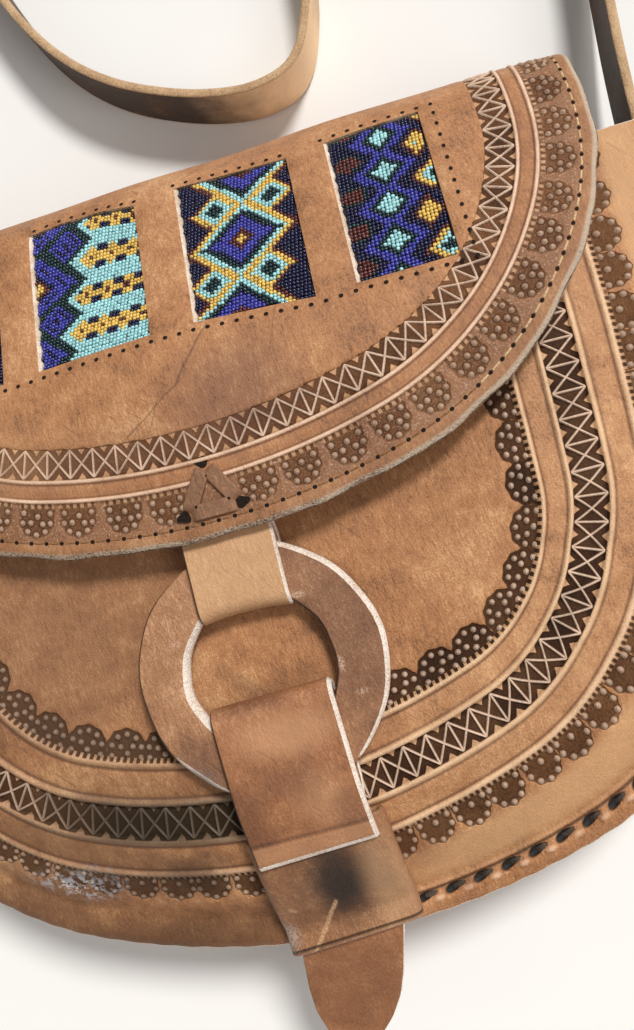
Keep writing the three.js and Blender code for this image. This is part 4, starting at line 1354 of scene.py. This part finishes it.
def make_beads(index):
    chart, lean, rise = CHARTS[index]
    centre, width = WINDOWS[index]
    reach = np.arange(-40, 41) * BEAD
    row, column = (grid.ravel() for grid in grids(reach, reach))
    x, y = column + row * lean, row + column * rise
    inside = (x > 1.15 - width / 2) & (x < width / 2 - 0.35) & (np.abs(y) < WINDOW_HEIGHT / 2 - 0.35)
    row, column, x, y = row[inside], column[inside], x[inside], y[inside]
    count = len(x)
    colours = np.array([tone(*colour)[:3] for colour in PALETTE])[chart(column, row)]
    colours = colours * (0.8 + 0.4 * rng.random((count, 1)))
    x = centre + x + rng.normal(0, 0.05, count)
    s = WINDOW_MIDDLE + y + rng.normal(0, 0.05, count)
    sides = 6
    ends = np.array([-0.46, -0.36, 0, 0.36, 0.46]) * BEAD * 1.02
    radii = np.array([0.18, 0.42, 0.52, 0.42, 0.18])
    around = turns(sides)[:, None]
    shape = stack(ends, radii * np.cos(around) * BEAD * 1.02, radii * np.sin(around) * 1.1).reshape(-1, 3)
    size = 1 + rng.normal(0, 0.03, (count, 1))
    bead_x = x[:, None] + shape[:, 0] * size
    bead_s = s[:, None] + shape[:, 1] * size
    depth = 1.15 + rng.normal(0, 0.05, (count, 1)) - shape[:, 2]
    faces = copies(grid_faces(sides, len(ends), True, False), count, len(shape))
    piece = Piece(f"beadwork_{index + 1}")
    tint = np.repeat(colours, len(shape), axis=0)
    piece.add(flap_skin(bead_x, bead_s, depth), faces[:, ::-1], 0, bead_colour=tint)
    back_x = centre + np.linspace(-0.5, 0.5, 20) * (width - 0.3)
    back_s = WINDOW_MIDDLE + np.linspace(-0.5, 0.5, 26) * (WINDOW_HEIGHT - 0.3)
    piece.sheet(flap_skin(*np.meshgrid(back_x, back_s), 1.5), 1, UP)
    piece.build([BEADS, CLOTH], "beadwork", [f"bead_panel_{index + 1}"])


# Straps

# raw below 0 marks a strap corner with painted shade
EDGE_SHADE_MARK = -0.8


def strap_section(half, thick, left, right, columns=9):
    """Strap section with cut corners: across, through, and raw, which is below 0 on the left corner, for
    painted shade there.
    """
    low, skirt, deep = -thick, 0.3, 1.3
    points = [[half - skirt, low, 1], [half, low + skirt, 1]]
    points += [[half, thick - min(right, deep), 1], [half - right, thick, 1]]
    points += [[value, thick, 0] for value in np.linspace(half - right - 0.2, left + 0.2 - half, columns)]
    points += [[left - half, thick, EDGE_SHADE_MARK], [-half, thick - min(left, deep), EDGE_SHADE_MARK]]
    points += [[-half, low + skirt, 1], [skirt - half, low, 1]]
    points += [[value, low, 0] for value in np.linspace(skirt + 0.2 - half, half - skirt - 0.2, columns)]
    return np.array(points)


def bared(section):
    """Raw of a section whose left side has a skin, apart from its corner of painted shade."""
    return np.minimum(section[:, 2], section[:, 0] > 0)


def resample(path, pace, passes):
    """Path of even steps through points, with its bends eased."""
    path = np.asarray(path, float)
    run = run_of(path)
    steps = np.linspace(0, run[-1], int(run[-1] / pace) + 1)
    dense = np.stack([np.interp(steps, run, column) for column in path.T], -1)
    for _ in range(passes):
        dense[1:-1] = 0.25 * dense[:-2] + 0.5 * dense[1:-1] + 0.25 * dense[2:]
    return dense


def fold_round(run):
    """Path round the ring's body, from over it to under it."""
    radius = (OVER_Z - UNDER_Z) / 2
    angles = np.linspace(0, math.pi, 19)
    return [(run - radius * math.sin(a), OVER_Z - radius * (1 - math.cos(a))) for a in angles]


def path_normals(path):
    along = unit(np.gradient(path[:, :2], axis=0))
    return along[:, 1:], -along[:, :1]


def add_strap(piece, points, raw=0.0, **attributes):
    """Closed strap from rows of sections, with its two ends capped."""
    piece.sheet(points, 0, wrap=(False, True), closed=True, raw=raw, **attributes)
    rows, columns = points.shape[:2]
    loop = piece.count - rows * columns + np.arange(columns)
    piece.cap(loop)
    piece.cap(loop[::-1] + (rows - 1) * columns)


def make_hanger():
    ring_top, hole_top = RING_Y + RING_OUTER, RING_Y + RING_HOLE
    meet = OVER_Z - STRAP_T - GAP
    path = [(27, OVER_Z), (12, OVER_Z), (ring_top, OVER_Z), (-8, OVER_Z)] + fold_round(hole_top - GAP)
    path += [(-8, UNDER_Z), (ring_top, UNDER_Z), (2, (UNDER_Z + meet) / 2), (5, meet), (9, meet), (27, meet)]
    path = resample(path, 0.7, 4)
    normal_y, normal_z = path_normals(path)
    section = strap_section(12.5, STRAP_T / 2, 0.3, 0.6)
    across, through, _ = section.T
    bowing = 1 - smooth(hole_top, ring_top + 6, path[:, :1])
    bow = 0.25 * (np.sqrt(RING_HOLE**2 - across**2) - RING_HOLE)
    y = path[:, :1] + bow * bowing + through * normal_y
    piece = Piece("hanger_strap")
    add_strap(piece, stack(across, y, path[:, 1:] + through * normal_z), bared(section))
    piece.build([HANGER], "hanger_leather", ["hanger"], sharp=60)


def make_ring():
    half, skirt = 1.9, 0.5
    angle = turns(180)[:, None]

    def facing(degrees):
        return np.maximum(np.cos(angle - math.radians(degrees)), 0)

    wobble = 0.18 * np.sin(angle * 5 + 1) + 0.12 * np.sin(angle * 11)
    outer, inner = RING_OUTER + wobble, RING_HOLE - wobble
    scuff = bell(angle, math.radians(226), math.radians(16))
    cut_out = 0.4 + 0.8 * facing(25) ** 0.7 + 1.1 * scuff
    cut_in = 0.4 + 1.1 * facing(190) ** 0.7
    # below 0, the outer edge facing left and the inner edge facing right get painted shade
    bare_and_shade_out = smooth(0.5, 0.8, cut_out) - facing(195) * (1 - scuff)
    bare_and_shade_in = smooth(0.5, 0.8, cut_in) - facing(10)
    columns = [(outer - skirt, -half, 0), (outer, skirt - half, 0)]
    columns += [(outer, half - cut_out, bare_and_shade_out), (outer - cut_out, half, bare_and_shade_out)]
    for part in np.linspace(0, 1, 9):
        reach = (outer - cut_out - 0.2) * (1 - part) + (inner + cut_in + 0.2) * part
        columns.append((reach, half + 0.12 * math.sin(math.pi * part), 0))
    columns += [(inner + cut_in, half, bare_and_shade_in), (inner, half - cut_in, bare_and_shade_in)]
    columns += [(inner, skirt - half, bare_and_shade_in * 0.5), (inner + skirt, -half, 0)]
    columns = np.concatenate([stack(*column) for column in columns], 1)
    radius, rise, raw = (columns[..., k] for k in range(3))
    piece = Piece("leather_ring")
    points = stack(radius * np.cos(angle), RING_Y + radius * np.sin(angle), RING_MID_Z + rise)
    piece.sheet(points, wrap=(True, True), raw=raw)
    piece.build([RING], "strap_leather", ["ring"], sharp=50)


LEAN = math.radians(2.5)
SLACK = 0.6
KEEPER_T, KEEPER_HALF = 1.8, 19.5
KEEPER_START, KEEPER_END = 43.5, 78.5
KEEPER_HEIGHT = 2 * (KEEPER_T + SLACK) + STRAP_T
TONGUE_HALF, TONGUE_BACK_HALF = 16.8, 15.2
TAIL_DROP = math.tan(math.radians(20))
# Reach, aside and half width of the tongue's tail
TAIL = [
    (79.5, -1.8, 15.1),
    (84, -3.0, 14.7),
    (92, -5.1, 14.2),
    (100, -7.2, 12.8),
    (107, -9.1, 10.0),
    (112, -10.4, 6.4),
    (114, -10.9, 4.0),
]


def tongue_place(reach, aside):
    x = reach * math.sin(LEAN) + aside * math.cos(LEAN)
    y = RING_Y - reach * math.cos(LEAN) + aside * math.sin(LEAN)
    return x, y


def bearing_z(reach):
    """Height at which the keeper bears on the panel."""
    return max(float(panel_z(*tongue_place(reach, aside))) for aside in (-KEEPER_HALF, 0, KEEPER_HALF)) + GAP


def make_tongue():
    def on_keeper(reach):
        return bearing_z(reach) + KEEPER_HEIGHT + SLACK + STRAP_T / 2

    def in_keeper(reach):
        return bearing_z(reach) + KEEPER_T + SLACK + STRAP_T / 2

    front = [(reach, on_keeper(reach)) for reach in (50.3, 46, KEEPER_START)]
    front += [(39, OVER_Z - 1.3), (RING_OUTER, OVER_Z), (22, OVER_Z)] + fold_round(10.6)
    front += [(22, UNDER_Z), (RING_OUTER, UNDER_Z)]
    path = [(reach, z, 0, TONGUE_HALF) for reach, z in front]
    for reach in np.linspace(KEEPER_START, KEEPER_END, 6):
        path.append((reach, in_keeper(reach), -1.6 * (reach - KEEPER_START) / 35, TONGUE_BACK_HALF))
    exit_z = in_keeper(KEEPER_END)
    path += [(reach, exit_z - (reach - KEEPER_END) * TAIL_DROP, aside, half) for reach, aside, half in TAIL]
    path = resample(path, 0.8, 4)
    normal_run, normal_z = path_normals(path)
    gone = run_of(path[:, :2])[:, None]
    section = strap_section(TONGUE_HALF, STRAP_T / 2, 0.3, 0.9, 13)
    share, through = section[:, 0] / TONGUE_HALF, section[:, 1]
    outer = through > 0
    bevel = np.maximum(1 - gone / 1.3, 0) * outer
    skew = -0.7 * share * (1 - smooth(0, 7, gone))
    run = path[:, :1] + through * normal_run + skew
    z = path[:, 1:2] + through * normal_z - 0.9 * bevel
    z = z + 0.25 * np.sin(gone / 6.0) * np.sin(share * 3.0 + 0.5) * outer * (gone < 45)
    x, y = tongue_place(run, path[:, 2:3] + share * path[:, 3:])
    piece = Piece("tongue_strap")
    bare = np.where(bevel > 0.05, 1.0, bared(section))
    add_strap(piece, stack(x, y, z), bare, reach=np.where(gone < 15, gone, 99))
    piece.build([TONGUE], "strap_leather", ["tongue"], sharp=60)


def make_keeper():
    def loop(shrink, radius):
        half, low, high = KEEPER_HALF - shrink - radius, shrink + radius, KEEPER_HEIGHT - shrink - radius
        points = []
        for side, z, start in ((1, low, -90), (1, high, 0), (-1, high, 90), (-1, low, 180)):
            for angle in np.radians(np.linspace(start, start + 90, 6)):
                points.append([side * half + radius * math.cos(angle), z + radius * math.sin(angle)])
            if start in (0, 180):
                flat = z + radius * (1 if start == 0 else -1)
                points += [[a, flat] for a in np.linspace(side * half, -side * half, 14)[1:-1]]
        return np.array(points)

    outer, inner = loop(0, 3.0), loop(KEEPER_T, 1.2)
    reaches = np.linspace(KEEPER_START, KEEPER_END, 30)[1:-1]
    start, end = KEEPER_START + 0.25, KEEPER_END - 0.25
    # reach, and share of the inner loop, along the outside and back through the inside
    rows = [(KEEPER_START, 0.75), (KEEPER_START, 0.25), (start, 0.06)] + [(reach, 0.0) for reach in reaches]
    rows += [(end, 0.06), (KEEPER_END, 0.25), (KEEPER_END, 0.75), (end, 0.94)]
    rows += [(reach, 1.0) for reach in reaches[::-1]] + [(start, 0.94)]
    points = []
    for reach, part in rows:
        aside, rise = (outer * (1 - part) + inner * part).T
        skew = np.interp(aside, [-KEEPER_HALF, KEEPER_HALF], [1.8, -0.9]) * smooth(50, KEEPER_END, reach)
        crown = 0.35 * (1 - (aside / KEEPER_HALF) ** 2) * (rise > KEEPER_HEIGHT / 2) * (part < 0.5)
        points.append(stack(*tongue_place(reach + skew, aside), bearing_z(reach) + rise + crown))
    reach, part = np.array(rows)[:, None].T
    raw = (part > 0.2) & (part < 0.8) & (reach > 60)
    piece = Piece("keeper_sleeve")
    piece.sheet(np.array(points), wrap=(True, True), raw=raw.T, reach=reach.T)
    piece.build([KEEPER], "strap_leather", ["keeper"], sharp=70)


def make_lace():
    holes = np.array([[0, 20.4], [-7.2, 8.8], [7.2, 8.8]])
    under_z = 63.35
    piece = Piece("flap_thong")
    section = strap_section(2.1, 0.5, 0.3, 0.3, 5)
    part = np.linspace(0, 1, 25)[:, None]
    rise = np.minimum(np.sin(math.pi * part) * 2.2, 1)
    for first, second in ((0, 2), (2, 1), (1, 0)):
        start, end = holes[first], holes[second]
        x, y = (start * (1 - part) + end * part).T[..., None]
        along = unit(end - start)
        for z in (FLAP_TOP - 1.2 * (1 - rise) + 0.55 * rise, under_z + 1.6 * (1 - rise)):
            points = stack(x - along[1] * section[:, 0], y + along[0] * section[:, 0], z + section[:, 1])
            add_strap(piece, points)
    piece.build([LACE], "lace_leather", ["flap_lace"], sharp=60)


def catmull(points, per_span):
    """Centripetal spline through points."""
    points = np.asarray(points, float)
    padded = np.concatenate([[2 * points[0] - points[1]], points, [2 * points[-1] - points[-2]]])
    u = np.linspace(0, 1, per_span, endpoint=False)[:, None]
    result = []
    for k in range(len(points) - 1):
        p0, p1, p2, p3 = padded[k : k + 4]
        d0, d1, d2 = (math.sqrt(np.linalg.norm(b - a)) for a, b in ((p0, p1), (p1, p2), (p2, p3)))
        t1 = ((p1 - p0) / d0 - (p2 - p0) / (d0 + d1) + (p2 - p1) / d1) * d1
        t2 = ((p2 - p1) / d1 - (p3 - p1) / (d1 + d2) + (p3 - p2) / d2) * d1
        square, cube = -3 * p1 + 3 * p2 - 2 * t1 - t2, 2 * p1 - 2 * p2 + t1 + t2
        result.append(p1 + t1 * u + square * u**2 + cube * u**3)
    return np.concatenate(result + [points[-1:]])


def make_shoulder_strap():
    seat, floor = 136.3, 10.15
    half_route = [(seat, 20, 23), (seat, 50, 23), (seat, 80, 22.5), (138.5, 110, 18), (143, 150, 12)]
    half_route += [(147, 200, floor), (144, 255, floor), (127, 297, floor)]
    middle = [(102, 310), (78, 292), (66, 245), (60, 200), (55.5, 165), (46, 145), (32.5, 141), (17, 143.5)]
    middle += [(2, 149.3), (-12.5, 157.5), (-25, 168.5), (-36, 184), (-48, 212), (-59, 250), (-74, 292)]
    route = half_route + [(x, y, floor) for x, y in middle + [(-100, 310)]]
    route += [(-x, y, z) for x, y, z in half_route[::-1]]
    path = resample(catmull(route, 24), 2.6, 1)
    along = unit(np.gradient(path, axis=0))
    normal = unit(stack(along[:, 1], -along[:, 0], 0.0))
    section = strap_section(10.0, 1.4, 0.6, 0.6)
    points = path[:, None] + section[:, :1] * np.array(UP) + section[:, 1:2] * normal[:, None]
    piece = Piece("long_strap")
    add_strap(piece, points, section[:, 2])
    piece.build([SHOULDER], "strap_leather", ["shoulder_strap"], sharp=60)


# Stitches and lacing


def frames_on_flap(x, length, depth):
    here = flap_skin(x, length, depth)
    ahead = flap_skin(x, length + 0.2, depth)
    beside = flap_skin(x + 0.2, length, depth)
    return here, unit(np.cross(beside - here, ahead - here))


def add_stitches(holes, threads, points, normals, pale=None):
    """Awl holes at the points as dark discs of painted shade, with a thread from each to the next where
    threads are given.
    """
    along = unit(np.gradient(points, axis=0))
    side = np.cross(normals, along)
    corners = 8
    around = turns(corners)[:, None]
    oval = along[:, None] * 0.66 * np.cos(around) + side[:, None] * 0.56 * np.sin(around)
    faces = np.arange(len(points) * corners).reshape(-1, corners)
    holes.add(points[:, None] + oval + normals[:, None] * 0.08, faces, 0, UP)
    if threads is None:
        return
    steps, sides = 7, 6
    part = np.linspace(0.2, 0.8, steps)[:, None]
    lift = 0.14 * np.sin(math.pi * np.linspace(0, 1, steps)) - 0.08
    start, end, normals, side, pale = points[:-1, None], points[1:, None], normals[:-1], side[:-1], pale[:-1]
    middle = start * (1 - part) + end * part + normals[:, None] * lift[:, None]
    turn = turns(sides)[:, None]
    thick = np.where(pale, 0.32, 0.24)[:, None, None]
    ring = thick * (side[:, None] * np.cos(turn) + normals[:, None] * np.sin(turn) * 0.8)
    faces = grid_faces(steps, sides, False, True)
    marks = np.repeat(np.where(pale, 0, 1), len(faces))
    threads.add(middle[:, :, None] + ring[:, None], copies(faces, len(pale), steps * sides), marks)


def make_stitching():
    holes, threads = Piece("stitch_holes"), Piece("stitch_threads")
    run = flap_run(FLAP_STITCH)
    along = np.interp(np.arange(run[0] + 3, run[-1] - 3, 4.4), run, t_flap)
    frames = frames_on_flap(*flap.place(along, FLAP_STITCH), 0.1)
    add_stitches(holes, threads, *frames, along > 75)
    # empty holes round the windows, dark discs of painted shade
    low, high = WINDOW_START - 2.5, WINDOW_TOP + 1.2
    left, right = -82.1, 80.9
    corners = [(left, low), (right, low), (right, high), (left, high), (left, low)]
    for (x0, s0), (x1, s1) in zip(corners, corners[1:]):
        count = int(round(math.hypot(x1 - x0, s1 - s0) / 4.0)) + 1
        depth = -0.05 if s0 == s1 == high else -0.25
        frames = frames_on_flap(np.linspace(x0, x1, count), np.linspace(s0, s1, count), depth)
        add_stitches(holes, None, *frames)
    # holes of the thong, dark discs of painted shade
    angle = turns(20)
    for x, y in ((-0.4, 21.4), (-8.4, 8.5), (7.6, 8.7)):
        uneven = 1 + 0.16 * np.sin(angle * 3 + x)
        spot = stack(x + 1.9 * uneven * np.cos(angle), y + 1.5 * uneven * np.sin(angle), FLAP_TOP + 0.45)
        holes.add(spot, np.arange(len(angle))[None], 0, UP)
    holes.build([HOLE_SHADE], "lace_leather")
    threads.build([THREAD, THREAD_BROWN], "lace_leather")


def make_rim_lacing():
    run = RUNS["run_rim"]
    numbers = np.arange(math.ceil(run[0] / LACE_PITCH + 0.5), math.floor(run[-1] / LACE_PITCH - 0.5))
    along = np.interp(numbers * LACE_PITCH, run, t_panel)
    piece = Piece("rim_thong")
    section = strap_section(0.8, 0.4, 0.25, 0.25, 4)
    part = np.linspace(0, 1, 9)
    lace = -1.6 + part * 4.6
    for centre in along[lace_shown(along) > 0.5]:
        x, y = body.place(centre + lace, LACE_INSET + 0.1 + (lace + 0.8) * 0.14)
        z = panel_z(x, y) - 1.75 + 1.25 * np.sin(part * math.pi * 0.8) ** 0.8
        path = stack(x, y, z)
        direction = unit(np.gradient(path, axis=0))
        side = unit(np.cross(UP, direction))
        up = np.cross(direction, side)
        add_strap(piece, path[:, None] + side[:, None] * section[:, :1] + up[:, None] * section[:, 1:2])
    piece.build([THONG], "lace_leather", sharp=60)


# Rows of bosses: their measure, lobes, foot, sense of rise, clear middle, then height, sunk depth and shine of
# their painted highlight
PANEL_BOSSES = [
    ("run_scallop", SCALLOPS, SCALLOP_FOOT, 1, -1, (0.9, 0.5, 0.7)),
    ("run_fan", FANS, FANS_IN, -1, -1, (0.95, 0.45, 0.55)),
]
FLAP_BOSSES = [("run_fan", FLAP_FANS, FLAP_FANS_IN, -1, THONG_HALF, (0.7, 0.33, 0.5))]
PANEL_ZIG, PANEL_LINES = (ZIG_OUT, ZIG_IN), (0.36, 0.72, 0.47)
FLAP_ZIG, FLAP_LINES = (FLAP_ZIG_OUT, FLAP_ZIG_IN), (0.36, 0.5, 0.33)

make_front_panel()
panel_table = (panel_point, t_panel, RUNS, 8, PANEL_BOSSES, PANEL_ZIG, PANEL_LINES)
make_tooling("panel_tooling", PANEL, "panel_leather", *panel_table)
make_back_panel()
make_gusset()
make_flap()
flap_table = (border_point, t_flap, FLAP_RUNS_ALONG, 10, FLAP_BOSSES, FLAP_ZIG, FLAP_LINES)
make_tooling("flap_tooling", FLAP, "flap_leather", *flap_table)
make_lining()
for window in range(len(WINDOWS)):
    make_beads(window)
make_hanger()
make_ring()
make_tongue()
make_keeper()
make_lace()
make_shoulder_strap()
make_stitching()
make_rim_lacing()


# Studio, in metres

FLOOR_REACH, FLOOR_Z = 4.0, -0.0004
graph = Graph("studio_floor")
spread = graph.noise(graph.vector(*graph.place()), 0.01, 2, 0.5)
pale = graph.mix(spread, (236, 235, 233), (244, 243, 241))
floor_mesh = bpy.data.meshes.new("studio_floor")
floor_corners = [(x * FLOOR_REACH, y * FLOOR_REACH, 0) for x, y in ((-1, -1), (1, -1), (1, 1), (-1, 1))]
floor_mesh.from_pydata(floor_corners, [], [(0, 1, 2, 3)])
floor_mesh.materials.append(graph.finish(pale, 0.85 + (spread - 0.5) * 0.05, (spread - 0.5) * 0.05, 0.2))
floor = bpy.data.objects.new("studio_floor", floor_mesh)
floor.location = (0, 0, FLOOR_Z)
link(floor)


def light(name, kind, place, direction, energy, colour, **settings):
    data = bpy.data.lights.new(name, kind)
    data.energy, data.color = energy, colour
    for key, value in settings.items():
        setattr(data, key, value)
    lamp = bpy.data.objects.new(name, data)
    lamp.location = place
    lamp.rotation_euler = Vector(direction).to_track_quat("-Z", "Y").to_euler()
    link(lamp)


light("key", "SUN", (0, 0, 0), (-0.5, -0.62, -1.0), 2.8, (1.0, 0.98, 0.95), angle=math.radians(13))
light("fill", "AREA", (0.9, -0.6, 1.1), (-0.9, 0.6, -1.05), 5, (1.0, 0.97, 0.94), shape="DISK", size=0.9)

world = bpy.data.worlds.new("studio_world")
bpy.context.scene.world = world
world.use_nodes = True
world.node_tree.nodes["Background"].inputs["Color"].default_value = (1.0, 0.985, 0.96, 1)
world.node_tree.nodes["Background"].inputs["Strength"].default_value = 0.3

camera_data = bpy.data.cameras.new("camera")
camera_data.sensor_width = 36
camera_data.lens = 31.52
camera_data.clip_start = 0.01
camera = bpy.data.objects.new("camera", camera_data)
forward = Vector((-0.1514, 0.0555, -0.9869)).normalized()
upward = Vector((0.2537, 0.9672, 0.0154))
upward = (upward - forward * upward.dot(forward)).normalized()
turn = Matrix((forward.cross(upward), upward, -forward)).transposed().to_4x4()
camera.matrix_world = Matrix.Translation((0.05993, -0.01229, 0.29763)) @ turn
link(camera)
bpy.context.scene.camera = camera
bpy.context.scene.view_settings.view_transform = "Standard"
